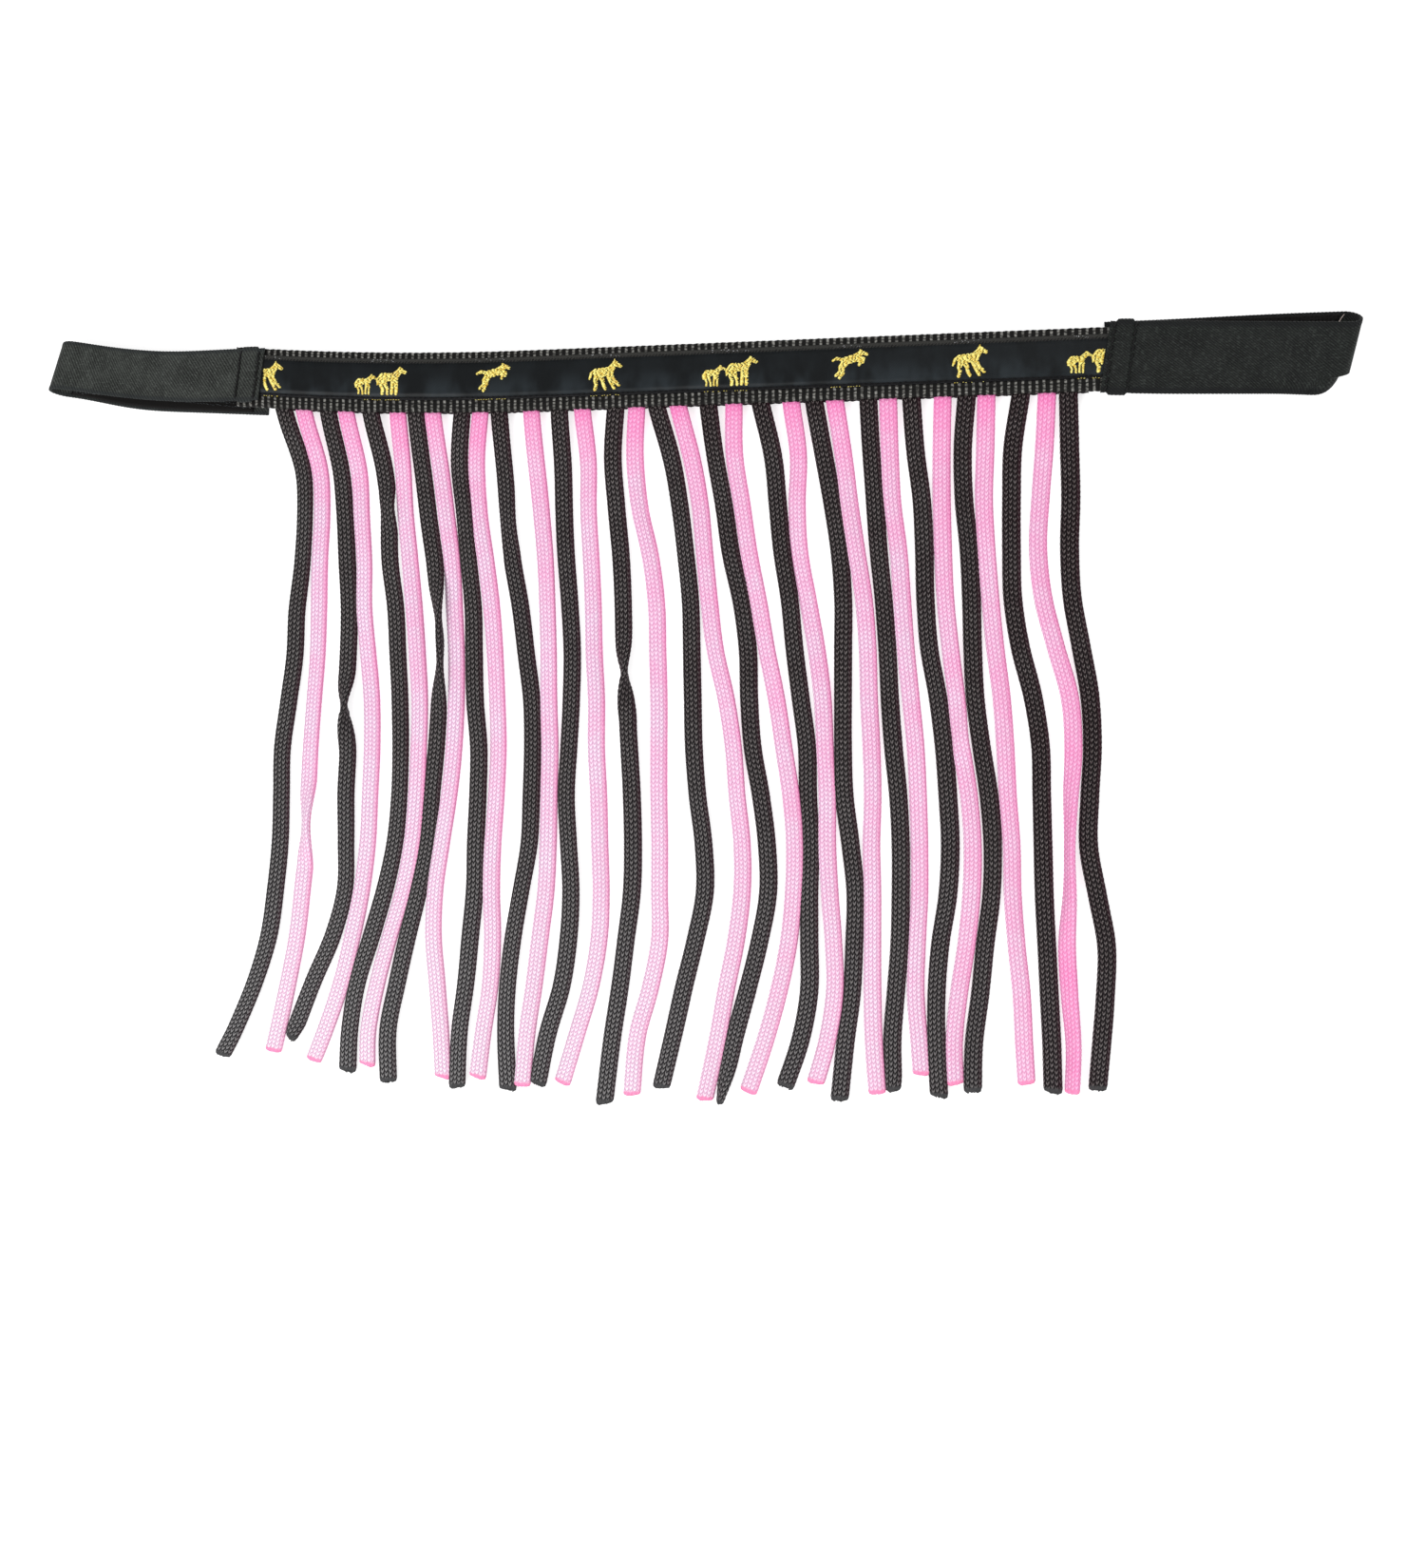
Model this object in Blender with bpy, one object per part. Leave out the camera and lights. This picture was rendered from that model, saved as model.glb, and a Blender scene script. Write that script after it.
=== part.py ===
"""Fly fringe browband: a ribbed webbing band with a jacquard ribbon, 33 braided cords and two strap loops.

It lies flat, face up. X runs along the band, the cords run towards -Y and +Z is up.
The origin is on the surface that it lies on, below the middle of the band and its loops.
"""

import math

import bpy
from mathutils import Matrix, Vector

MM = 0.001

# Band
BAND_PLACE = (0.46 * MM, -5.5 * MM, 0)  # middle of its straight part, from the origin
BAND_WIDTH = 25.4 * MM
BAND_HALF_LENGTH = 190 * MM
BACKING_HALF_LENGTH = 170 * MM  # stops short of the straps' flaps, which pass under the band's ends
BEND_START = -60 * MM  # left of this the band bends gently away from the cords
BEND_RADIUS = 1316 * MM
BAND_STEPS = 24
BACKING_BOTTOM = 1.7 * MM
BACKING_THICK = 1.2 * MM
TAIL_THICK = 1.8 * MM  # of the sewn-in tape and the cords' ends
WEBBING_THICK = 1.4 * MM
GAP = 0.3 * MM

# Ribbon
RIBBON_TOP = 9.8 * MM
RIBBON_BOTTOM = -7.7 * MM
RIBBON_THICK = 0.4 * MM
MOTIF_THICK = 0.3 * MM
MOTIF_HEIGHT = 13 * MM
MOTIF_PITCH = 50 * MM
MOTIF_FIRST = -178 * MM
MOTIF_COUNT = 6

# Straps and their loops
STRAP_WIDTH = 25 * MM
STRAP_THICK = 1.4 * MM
STRAP_START = 178 * MM  # from the middle of the band to each sewn edge
LAP = 12 * MM
FOLD_CENTRE = 93.5 * MM
FOLD_RADIUS = 5.3 * MM
HINGE_REACH = 0.8 * MM  # the fold hinge's line lies this far outside the fold
TAPE_THICK = 0.8 * MM
TAPE_WIDTH = 20 * MM
TAPE_START = 24 * MM
TAPE_LENGTH = 60 * MM

# Cords
CORD_WIDTH = 6 * MM
CORD_THICK = 2.4 * MM
CORD_LIE = 1.25 * MM  # height of a cord's middle where it lies on the surface
CORD_POINTS = 17
HINGE_DROP = 1.2 * MM  # from the band's lower edge to the cords' hinge line
CORD_START = 1.4 * MM  # from the hinge line to the cord's first ring
SETTLE = 30 * MM  # length over which a cord comes down to the surface
TAIL_WIDTH = 5.6 * MM
TAPE_LOW = -4 * MM
TAPE_HIGH = 8 * MM
FIRST_STATION = -14
STATION_STEP = -20

# Stitching
STITCH_WIDTH = 0.6 * MM
STITCH_THICK = 0.4 * MM
BOX_STITCH_START = 2.5 * MM
BOX_STITCH_END = 9.5 * MM

WEBBING_BOTTOM = BACKING_BOTTOM + BACKING_THICK + TAIL_THICK + 2 * GAP
WEBBING_TOP = WEBBING_BOTTOM + WEBBING_THICK
RIBBON_FACE = WEBBING_TOP + GAP + RIBBON_THICK
HINGE_HEIGHT = BACKING_BOTTOM + BACKING_THICK + GAP + TAIL_THICK / 2
STRAP_LIE = WEBBING_TOP + GAP + STRAP_THICK / 2
FOLD_HEIGHT = STRAP_THICK / 2 + FOLD_RADIUS

# Each cord's middle, sideways in mm, at every station down the fringe, then its cut end (x, y).
ROUTES = (
    ((-167.5, -161.5, -160.5, -161.5, -164, -165, -168, -171, -171.5, -172, -174, -177, -183, -191.5),
     (-198, -286.5)),
    ((-159, -154, -153, -154, -154.5, -155, -156.5, -158, -159, -159.5, -161.5, -164, -168, -172.5),
     (-175, -284.5)),
    ((-148.5, -144.5, -142.5, -141.5, -140.5, -141, -142, -141, -142, -142, -142.5, -148, -157, -165),
     (-166.5, -278.5)),
    ((-140.5, -136.5, -135, -133.5, -133.5, -132, -130.5, -130.5, -131.5, -132.5, -135, -139, -144, -151),
     (-156.5, -288)),
    ((-129.5, -125, -123, -122.5, -120, -119, -118, -117.5, -118, -120, -124.5, -130.5, -137, -140.5),
     (-141.5, -292)),
    ((-118, -116.5, -115.5, -113.5, -111.5, -110, -109, -109.5, -110.5, -112.5, -116.5, -122.5, -128, -132),
     (-132.5, -289.5)),
    ((-110, -108, -105.5, -102.5, -100.5, -99.5, -100.5, -102, -104, -105.5, -109.5, -114.5, -119, -123),
     (-123, -296)),
    ((-102.5, -100, -97.5, -95, -94, -93, -93, -94, -96, -99, -102, -103, -101.5, -100),
     (-99, -294)),
    ((-90, -91.5, -89.5, -87.5, -85.5, -85, -84.5, -83, -83.5, -84.5, -85, -87, -89, -91.5),
     (-92.5, -297.5)),
    ((-82, -84, -83, -80, -77.5, -76, -75, -74.5, -75.5, -77, -77.5, -77, -78, -81),
     (-83.5, -293.5)),
    ((-73.5, -72, -70.5, -68.5, -65, -62.5, -60, -59.5, -60, -61, -64.5, -68, -70.5, -71.5),
     (-70.5, -298)),
    ((-59.5, -58, -56, -54, -53, -52.5, -52.5, -52, -52.5, -53, -54, -56.5, -59, -62),
     (-64, -296.5)),
    ((-47.5, -46.5, -46, -45, -43.5, -42.5, -43, -44, -45, -44, -43, -44, -47, -53),
     (-57.5, -295.5)),
    ((-37.5, -35.5, -35.5, -34.5, -33.5, -33, -32, -32, -31, -30.5, -30, -31, -34.5, -40.5),
     (-47, -295)),
    ((-23.5, -25, -23.5, -21.5, -20.5, -20, -19, -18, -17, -16.5, -17, -19.5, -22, -25),
     (-28.5, -302.5)),
    ((-14.5, -15.5, -13.5, -9, -6.5, -6, -5.5, -5.5, -5.5, -5, -5, -5, -9, -14.5),
     (-17, -299)),
    ((-5.5, 0, 3.5, 6, 8, 8.5, 9, 9.5, 11, 13.5, 14, 10, 5, 0.5),
     (-4.5, -295.5)),
    ((3.5, 8.5, 12, 14, 16, 18.5, 23, 26, 27.5, 29.5, 29.5, 27, 23, 19.5),
     (14, -300)),
    ((16, 18.5, 22, 25, 29.5, 32, 32.5, 34, 37.5, 40, 40.5, 37, 32, 26.5),
     (20.5, -301)),
    ((26.5, 26.5, 29.5, 32.5, 36.5, 40, 44, 47, 50, 51.5, 51, 49, 45, 39.5),
     (32, -296.5)),
    ((38, 42.5, 44.5, 46.5, 49.5, 51.5, 54, 56.5, 57, 58, 57.5, 57.5, 57.5, 54),
     (47.5, -293.5)),
    ((50.5, 53, 52.5, 53.5, 57, 60.5, 63, 64, 65, 65, 66, 67.5, 68, 65),
     (60, -292)),
    ((60, 63.5, 67, 70, 71.5, 71.5, 71.5, 71.5, 72, 74.5, 76.5, 76, 75, 72.5),
     (70, -298.5)),
    ((68.5, 71.5, 74, 77, 80, 81.5, 82, 83, 83.5, 83, 83.5, 83.5, 83.5, 84),
     (85.5, -295.5)),
    ((82, 83, 84.5, 86, 88, 89.5, 90.5, 92, 94, 95, 95, 94.5, 93, 91.5),
     (92, -294)),
    ((90, 90.5, 91.5, 94, 95.5, 97, 99, 101, 102, 102.5, 102.5, 101.5, 101, 102.5),
     (103.5, -287.5)),
    ((99.5, 101, 103.5, 104.5, 105, 106.5, 110, 112.5, 114, 115, 114, 111, 109.5, 109.5),
     (110.5, -296)),
    ((112, 111.5, 111.5, 112, 113, 115, 117.5, 119.5, 122.5, 124, 123.5, 121.5, 118.5, 116.5),
     (117, -291)),
    ((121.5, 120, 120.5, 122.5, 123.5, 124, 125, 127.5, 130.5, 132, 131.5, 129, 127, 124.5),
     (124, -293.5)),
    ((129.5, 129, 128.5, 129.5, 131, 133, 135.5, 137, 138, 139.5, 140, 141.5, 143.5, 144.5),
     (145.5, -290)),
    ((143, 140, 139.5, 139.5, 140, 143, 148, 151, 151.5, 152, 152.5, 153.5, 154.5, 155.5),
     (156, -293)),
    ((153.5, 152.5, 151, 150, 152, 157, 162.5, 164, 163, 162.5, 162.5, 161.5, 162.5, 164),
     (163.5, -293)),
    ((162, 162.5, 163, 162.5, 163.5, 167, 170.5, 171.5, 170.5, 170, 173.5, 177, 176.5, 175),
     (173.5, -291.5)),
)

# Outline of the horse motif, nose to the right, in tenths of its height.
HORSE = (
    (9.6, 7.6), (9.0, 8.6), (7.9, 9.6), (7.4, 10), (7.2, 9.3), (5.9, 8.0), (4.8, 6.9), (2.0, 6.8),
    (0.9, 7.4), (-0.6, 6.6), (-1.3, 4.6), (-0.4, 5.4), (0.4, 5.6), (0.9, 4.3), (-0.2, 2.6), (-0.3, 0.2),
    (0.5, 0.2), (0.7, 2.2), (1.9, 3.9), (2.4, 4.4), (4.6, 4.2), (5.3, 3.9), (5.0, 2.2), (5.2, 0),
    (5.9, 0), (5.9, 2.2), (6.6, 3.6), (7.8, 3.4), (7.9, 2.2), (8.7, 2.2), (8.6, 4.2), (6.9, 5.0),
    (7.3, 6.9), (7.8, 7.8), (9.0, 7.2),
)

# name: (x and y of the sewn edge's middle in mm, side, turn of the strap in degrees,
# turn of its flap in degrees, how far the fold carries the flap sideways in mm)
LOOPS = {
    "left": ((-178, 6.0), -1, -5.0, -8.0, 0.0),
    "right": ((178, 0.7), 1, -2.5, 0.0, 4.0),
}


def clear_scene():
    for old in list(bpy.data.objects):
        bpy.data.objects.remove(old, do_unlink=True)


def new_collection(name):
    collection = bpy.data.collections.new(name)
    bpy.context.scene.collection.children.link(collection)
    return collection


def material(name, colour, roughness, metallic=0.0):
    made = bpy.data.materials.new(name)
    made.use_nodes = True
    shader = made.node_tree.nodes["Principled BSDF"]
    shader.inputs["Base Color"].default_value = (*colour, 1)
    shader.inputs["Roughness"].default_value = roughness
    shader.inputs["Metallic"].default_value = metallic
    return made


def add(name, data, collection, look, matrix):
    """Link new data under its node's name, with its own material; the matrix is from the band's middle."""
    made = bpy.data.objects.new(name, data)
    data.materials.append(look)
    made.matrix_world = Matrix.Translation(BAND_PLACE) @ matrix
    collection.objects.link(made)
    return made


def bend(x):
    """How far the band's middle line lies from the X axis at x."""
    return (x - BEND_START) ** 2 / (2 * BEND_RADIUS) if x < BEND_START else 0.0


def lower_edge(x):
    return bend(x) - BAND_WIDTH / 2


def band_stations(half):
    """Places along the band, close enough together for its bend."""
    return [-half + 2 * half * i / BAND_STEPS for i in range(BAND_STEPS + 1)]


def outline_plate(name, loops, thickness, collection, look, matrix):
    """A plate of the given outlines, lying about its own z = 0."""
    curve = bpy.data.curves.new(name, "CURVE")
    curve.dimensions = "2D"
    curve.fill_mode = "BOTH"
    curve.extrude = thickness / 2
    for loop in loops:
        spline = curve.splines.new("POLY")
        spline.points.add(len(loop) - 1)
        for point, (x, y) in zip(spline.points, loop):
            point.co = (x, y, 0, 1)
        spline.use_cyclic_u = True
    return add(name, curve, collection, look, matrix)


def band_strip(name, half, low, high, bottom, thick, collection, look):
    """A flat strip along the bent band, from low to high across it."""
    xs = band_stations(half)
    loop = [(x, bend(x) + low) for x in xs] + [(x, bend(x) + high) for x in reversed(xs)]
    middle = Matrix.Translation((0, 0, bottom + thick / 2))
    return outline_plate(name, [loop], thick, collection, look, middle)


def route_x(route, y):
    """The cord's sideways place at y: a smooth curve through its stations, all in metres."""
    stations, end = route
    points = [((FIRST_STATION + STATION_STEP * i) * MM, x * MM) for i, x in enumerate(stations)]
    points.append((end[1] * MM, end[0] * MM))
    last = len(points) - 2
    i = next((k for k in range(last) if y > points[k + 1][0]), last)

    def slope(k):
        a, b = points[max(k - 1, 0)], points[min(k + 1, last + 1)]
        return (b[1] - a[1]) / (b[0] - a[0])

    (y0, x0), (y1, x1) = points[i], points[i + 1]
    t = (y - y0) / (y1 - y0)
    if t < 0:
        return x0 + slope(i) * (y - y0)
    run = y1 - y0
    rise = (2 * t**3 - 3 * t**2 + 1) * x0 + (3 * t**2 - 2 * t**3) * x1
    return rise + (t**3 - 2 * t**2 + t) * run * slope(i) + (t**3 - t**2) * run * slope(i + 1)


def settle(drop):
    """Height of a cord's middle at this distance from its hinge line."""
    t = min(drop / SETTLE, 1)
    return HINGE_HEIGHT + (CORD_LIE - HINGE_HEIGHT) * t * t * (3 - 2 * t)


def cord(index, route, collection, look):
    """A flattened tube whose own origin is on its hinge line, at the band's lower edge."""
    name = f"cord_{index:02d}"
    root_x = route[0][0] * MM
    hinge_y = lower_edge(root_x) - HINGE_DROP
    start_y = hinge_y - CORD_START
    end_y = route[1][1] * MM
    flat = CORD_THICK / CORD_WIDTH
    curve = bpy.data.curves.new(name, "CURVE")
    curve.dimensions = "3D"
    curve.bevel_depth = CORD_WIDTH / 2
    curve.bevel_resolution = 2
    curve.use_fill_caps = True
    spline = curve.splines.new("POLY")
    spline.points.add(CORD_POINTS - 1)
    for i, point in enumerate(spline.points):
        y = start_y + (end_y - start_y) * i / (CORD_POINTS - 1)
        height = settle(hinge_y - y) - HINGE_HEIGHT
        point.co = (route_x(route, y) - root_x, y - hinge_y, height / flat, 1)
    place = Matrix.Translation((root_x, hinge_y, HINGE_HEIGHT)) @ Matrix.Diagonal((1, 1, flat, 1))
    return add(name, curve, collection, look, place)


def fringe_tape(collection, look):
    """The sewn-in tape between the webbing and its backing, with a tab for each cord's sewn end."""
    outline = [(-BAND_HALF_LENGTH, bend(-BAND_HALF_LENGTH) + TAPE_LOW)]
    for stations, _ in ROUTES:
        left = stations[0] * MM - TAIL_WIDTH / 2
        right = left + TAIL_WIDTH
        outline += [(left, bend(left) + TAPE_LOW), (left, lower_edge(left) + GAP)]
        outline += [(right, lower_edge(right) + GAP), (right, bend(right) + TAPE_LOW)]
    outline.append((BAND_HALF_LENGTH, TAPE_LOW))
    outline += [(x, bend(x) + TAPE_HIGH) for x in reversed(band_stations(BAND_HALF_LENGTH))]
    lift = Matrix.Translation((0, 0, HINGE_HEIGHT))
    return outline_plate("fringe_tape", [outline], TAIL_THICK, collection, look, lift)


def thick_path(path, thickness):
    """Outline of a strip of this thickness along a path of (x, y) points."""
    points = [Vector(p) for p in path]
    sides = ([], [])
    for i, p in enumerate(points):
        along = (points[min(i + 1, len(points) - 1)] - points[max(i - 1, 0)]).normalized()
        across = Vector((-along.y, along.x)) * thickness / 2
        sides[0].append(tuple(p + across))
        sides[1].append(tuple(p - across))
    return sides[0] + sides[1][::-1]


def fold_arc(start, end, steps=6):
    """Points on the fold's middle line; 90 degrees is its top and 0 its outermost line."""
    angles = [math.radians(start + (end - start) * i / steps) for i in range(steps + 1)]
    middle = Vector((FOLD_CENTRE, FOLD_HEIGHT))
    return [tuple(middle + FOLD_RADIUS * Vector((math.cos(a), math.sin(a)))) for a in angles]


def strap_frame(loop):
    """From a strap's own frame, X outwards from its sewn edge and Z up, to the world."""
    (x, y), side, strap_turn, _, _ = loop
    face = math.radians(strap_turn) + (math.pi if side < 0 else 0)
    return Matrix.Translation((x * MM, y * MM, 0)) @ Matrix.Rotation(face, 4, "Z")


def flap_frame(loop):
    """The same for its flap, which is turned and shifted at the fold's hinge line."""
    _, _, strap_turn, flap_turn, shift = loop
    reach = hinge_place()[0]
    turn = Matrix.Rotation(math.radians(flap_turn - strap_turn), 4, "Z")
    at_fold = Matrix.Translation((0, shift * MM, 0)) @ strap_frame(loop) @ Matrix.Translation((reach, 0, 0))
    return at_fold @ turn @ Matrix.Translation((-reach, 0, 0))


def side_plate(name, path, thickness, width, frame, collection, look, origin=(0, 0)):
    """A strip whose side view is the given path, with its own origin at the given (x, z)."""
    loop = [(x - origin[0], z - origin[1]) for x, z in thick_path(path, thickness)]
    stand = Matrix.Translation((origin[0], 0, origin[1])) @ Matrix.Rotation(math.pi / 2, 4, "X")
    return outline_plate(name, [loop], width, collection, look, frame @ stand)


def strap_height(x):
    """Height of the front layer's middle between its lap and its fold."""
    top = FOLD_HEIGHT + FOLD_RADIUS
    return STRAP_LIE + (top - STRAP_LIE) * (x - LAP) / (FOLD_CENTRE - LAP)


def hinge_place():
    return FOLD_CENTRE + FOLD_RADIUS + STRAP_THICK / 2 + HINGE_REACH, FOLD_HEIGHT


def strap(side_name, loop, collection, look):
    """Front layer: sewn on the band's end, then out to the upper half of the fold."""
    split = math.degrees(GAP / 2 / FOLD_RADIUS)
    path = [(0, STRAP_LIE), (LAP, STRAP_LIE)] + fold_arc(90, split)
    frame = strap_frame(loop)
    side_plate(f"{side_name}_strap", path, STRAP_THICK, STRAP_WIDTH, frame, collection, look)


def flap(side_name, loop, collection, look):
    """Back layer: the lower half of the fold, then back under the band's end."""
    split = math.degrees(GAP / 2 / FOLD_RADIUS)
    path = fold_arc(-split, -90) + [(1 * MM, STRAP_THICK / 2)]
    frame = flap_frame(loop)
    name = f"{side_name}_flap"
    side_plate(name, path, STRAP_THICK, STRAP_WIDTH, frame, collection, look, hinge_place())


def hook_tape(side_name, loop, collection, look):
    """Hook tape on the flap's inner face."""
    height = STRAP_THICK + GAP + TAPE_THICK / 2
    path = [(TAPE_START, height), (TAPE_START + TAPE_LENGTH, height)]
    frame = flap_frame(loop)
    name = f"{side_name}_hook_tape"
    side_plate(name, path, TAPE_THICK, TAPE_WIDTH, frame, collection, look, hinge_place())


def loop_tape(side_name, loop, collection, look):
    """Loop tape on the front layer's inner face."""
    below = (STRAP_THICK + TAPE_THICK) / 2 + GAP
    path = [(x, strap_height(x) - below) for x in (TAPE_START, TAPE_START + TAPE_LENGTH)]
    frame = strap_frame(loop)
    side_plate(f"{side_name}_loop_tape", path, TAPE_THICK, TAPE_WIDTH, frame, collection, look)


def band_row(name, across, height, half, collection, look):
    """A row of stitching along the band, as one low ridge."""
    low = across - STITCH_WIDTH / 2
    return band_strip(name, half, low, low + STITCH_WIDTH, height, STITCH_THICK, collection, look)


def box_stitching(side_name, loop, collection, look):
    """The closed box of stitching that holds the strap's lap on the band's end."""
    ring = []
    for inset in (0, STITCH_WIDTH):
        low, high = BOX_STITCH_START + inset, BOX_STITCH_END - inset
        wide = STRAP_WIDTH / 2 - 2 * MM - inset
        ring.append([(low, -wide), (high, -wide), (high, wide), (low, wide)])
    lift = Matrix.Translation((0, 0, STRAP_LIE + (STRAP_THICK + STITCH_THICK) / 2 + GAP))
    frame = strap_frame(loop) @ lift
    outline_plate(f"{side_name}_strap_stitching", ring, STITCH_THICK, collection, look, frame)


def motif(index, collection, look):
    """A gold-thread horse on the ribbon."""
    unit = MOTIF_HEIGHT / 10
    x = MOTIF_FIRST + MOTIF_PITCH * index
    foot = (RIBBON_TOP + RIBBON_BOTTOM) / 2 - MOTIF_HEIGHT / 2
    outline = [((px - 4) * unit, py * unit) for px, py in HORSE]
    place = Matrix.Translation((x, bend(x) + foot, RIBBON_FACE + GAP + MOTIF_THICK / 2))
    outline_plate(f"ribbon_motif_{index}", [outline], MOTIF_THICK, collection, look, place)


def build():
    clear_scene()
    parts = new_collection("fly_fringe_browband")
    black_webbing = material("black_ribbed_webbing", (0.02, 0.02, 0.02), 0.8)
    lining = material("black_lining_webbing", (0.025, 0.025, 0.025), 0.85)
    black_cord = material("black_braided_cord", (0.02, 0.018, 0.02), 0.75)
    pink_cord = material("pink_braided_cord", (0.95, 0.35, 0.6), 0.7)
    tail_look = material("black_fringe_tape", (0.05, 0.03, 0.04), 0.8)
    twill = material("black_twill_strap", (0.035, 0.04, 0.037), 0.85)
    hook = material("black_hook_tape", (0.03, 0.03, 0.03), 0.6)
    pile = material("black_loop_tape", (0.03, 0.03, 0.03), 0.95)
    satin = material("black_satin_ribbon", (0.015, 0.015, 0.016), 0.4)
    gold = material("gold_thread", (0.75, 0.6, 0.3), 0.35, 0.7)
    thread = material("black_thread", (0.03, 0.03, 0.03), 0.6)

    half = BAND_WIDTH / 2
    band_strip("browband_webbing", BAND_HALF_LENGTH, -half, half, WEBBING_BOTTOM, WEBBING_THICK,
               parts, black_webbing)
    band_strip("backing_webbing", BACKING_HALF_LENGTH, -half, half, BACKING_BOTTOM, BACKING_THICK,
               parts, lining)
    ribbon_half = STRAP_START - 3 * MM
    band_strip("jacquard_ribbon", ribbon_half, RIBBON_BOTTOM, RIBBON_TOP, WEBBING_TOP + GAP,
               RIBBON_THICK, parts, satin)
    for i in range(MOTIF_COUNT):
        motif(i + 1, parts, gold)

    on_ribbon = RIBBON_FACE + GAP
    on_webbing = WEBBING_TOP + GAP
    row_half = ribbon_half - 3 * MM
    band_row("ribbon_upper_stitching", RIBBON_TOP - 1 * MM, on_ribbon, row_half, parts, thread)
    band_row("ribbon_lower_stitching", RIBBON_BOTTOM + 0.8 * MM, on_ribbon, row_half, parts, thread)
    band_row("fringe_stitching", 3.5 * MM - half, on_webbing, row_half, parts, thread)

    fringe_tape(parts, tail_look)
    for i, route in enumerate(ROUTES, 1):
        cord(i, route, parts, black_cord if i % 2 else pink_cord)

    for side_name, loop in LOOPS.items():
        strap(side_name, loop, parts, twill)
        flap(side_name, loop, parts, twill)
        hook_tape(side_name, loop, parts, hook)
        loop_tape(side_name, loop, parts, pile)
        box_stitching(side_name, loop, parts, thread)


build()
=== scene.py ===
"""Looks of the fly fringe browband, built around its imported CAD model, in metres."""

import math

import bpy
import numpy as np
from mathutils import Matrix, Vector


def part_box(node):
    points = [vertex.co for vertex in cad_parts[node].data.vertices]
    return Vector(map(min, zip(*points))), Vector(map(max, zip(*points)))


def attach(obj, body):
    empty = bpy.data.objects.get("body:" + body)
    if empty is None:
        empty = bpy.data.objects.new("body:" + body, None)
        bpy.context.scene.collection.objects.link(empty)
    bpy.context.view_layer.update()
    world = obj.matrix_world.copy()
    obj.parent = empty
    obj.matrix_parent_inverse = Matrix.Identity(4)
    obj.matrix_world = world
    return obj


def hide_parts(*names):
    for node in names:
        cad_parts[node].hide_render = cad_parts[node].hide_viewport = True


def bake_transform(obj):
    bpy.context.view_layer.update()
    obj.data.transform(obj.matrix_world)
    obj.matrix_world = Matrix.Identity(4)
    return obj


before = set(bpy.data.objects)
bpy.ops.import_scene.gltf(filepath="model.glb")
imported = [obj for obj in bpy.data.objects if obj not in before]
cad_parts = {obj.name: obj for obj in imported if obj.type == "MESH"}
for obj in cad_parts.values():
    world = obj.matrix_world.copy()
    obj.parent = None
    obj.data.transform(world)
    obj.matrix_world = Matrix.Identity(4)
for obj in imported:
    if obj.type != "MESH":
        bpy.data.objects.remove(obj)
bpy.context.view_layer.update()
MM = 0.001
FLOOR_GAP = 0.05 * MM  # below the lowest points of every soft piece
RANDOM = np.random.default_rng(11)

# ---- sizes from the frame and part.py

WEB_LOW, WEB_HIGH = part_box("browband_webbing")
BACK_LOW, BACK_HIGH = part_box("backing_webbing")
BAND_WIDTH = 25.4 * MM
BAND_HALF = (WEB_HIGH.x - WEB_LOW.x) / 2
BAND_X = (WEB_HIGH.x + WEB_LOW.x) / 2
BAND_Y = WEB_LOW.y + BAND_WIDTH / 2
BEND_START = -60 * MM  # the band curves upwards to the left of here
BEND_RADIUS = 1316 * MM
RIBBON_TOP = 9.8 * MM
RIBBON_BOTTOM = -7.7 * MM
RIBBON_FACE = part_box("jacquard_ribbon")[1].z

STRAP_WIDTHS = {"left": 21.0 * MM, "right": 28.4 * MM}  # the CAD model's are both 25 mm
STRAP_THICK = 1.4 * MM
LAP = 12 * MM  # how far the strap lies flat over the band's end
FOLD_CENTRE = 93.5 * MM
FOLD_RADIUS = 5.3 * MM
FOLD_HEIGHT = STRAP_THICK / 2 + FOLD_RADIUS
HINGE_REACH = FOLD_CENTRE + FOLD_RADIUS + STRAP_THICK / 2 + 0.8 * MM
STRAP_LIE = WEB_HIGH.z + 0.75 * MM + STRAP_THICK / 2  # the sewn layer's middle

HINGE_HEIGHT = 4.1 * MM  # of the cords' hinges, as in the CAD model
HINGE_DROP = 1.2 * MM  # of the hinges below the band's lower edge
SETTLE = 30 * MM  # how far below the band the cords come to lie on the floor
CORD_WIDTH = 7.1 * MM
CORD_THICK = 2.5 * MM
SEWN_IN = 7 * MM  # of each cord, above its hinge
FIRST_STATION = -14  # mm from the band's middle line
STATION_STEP = -20

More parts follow.
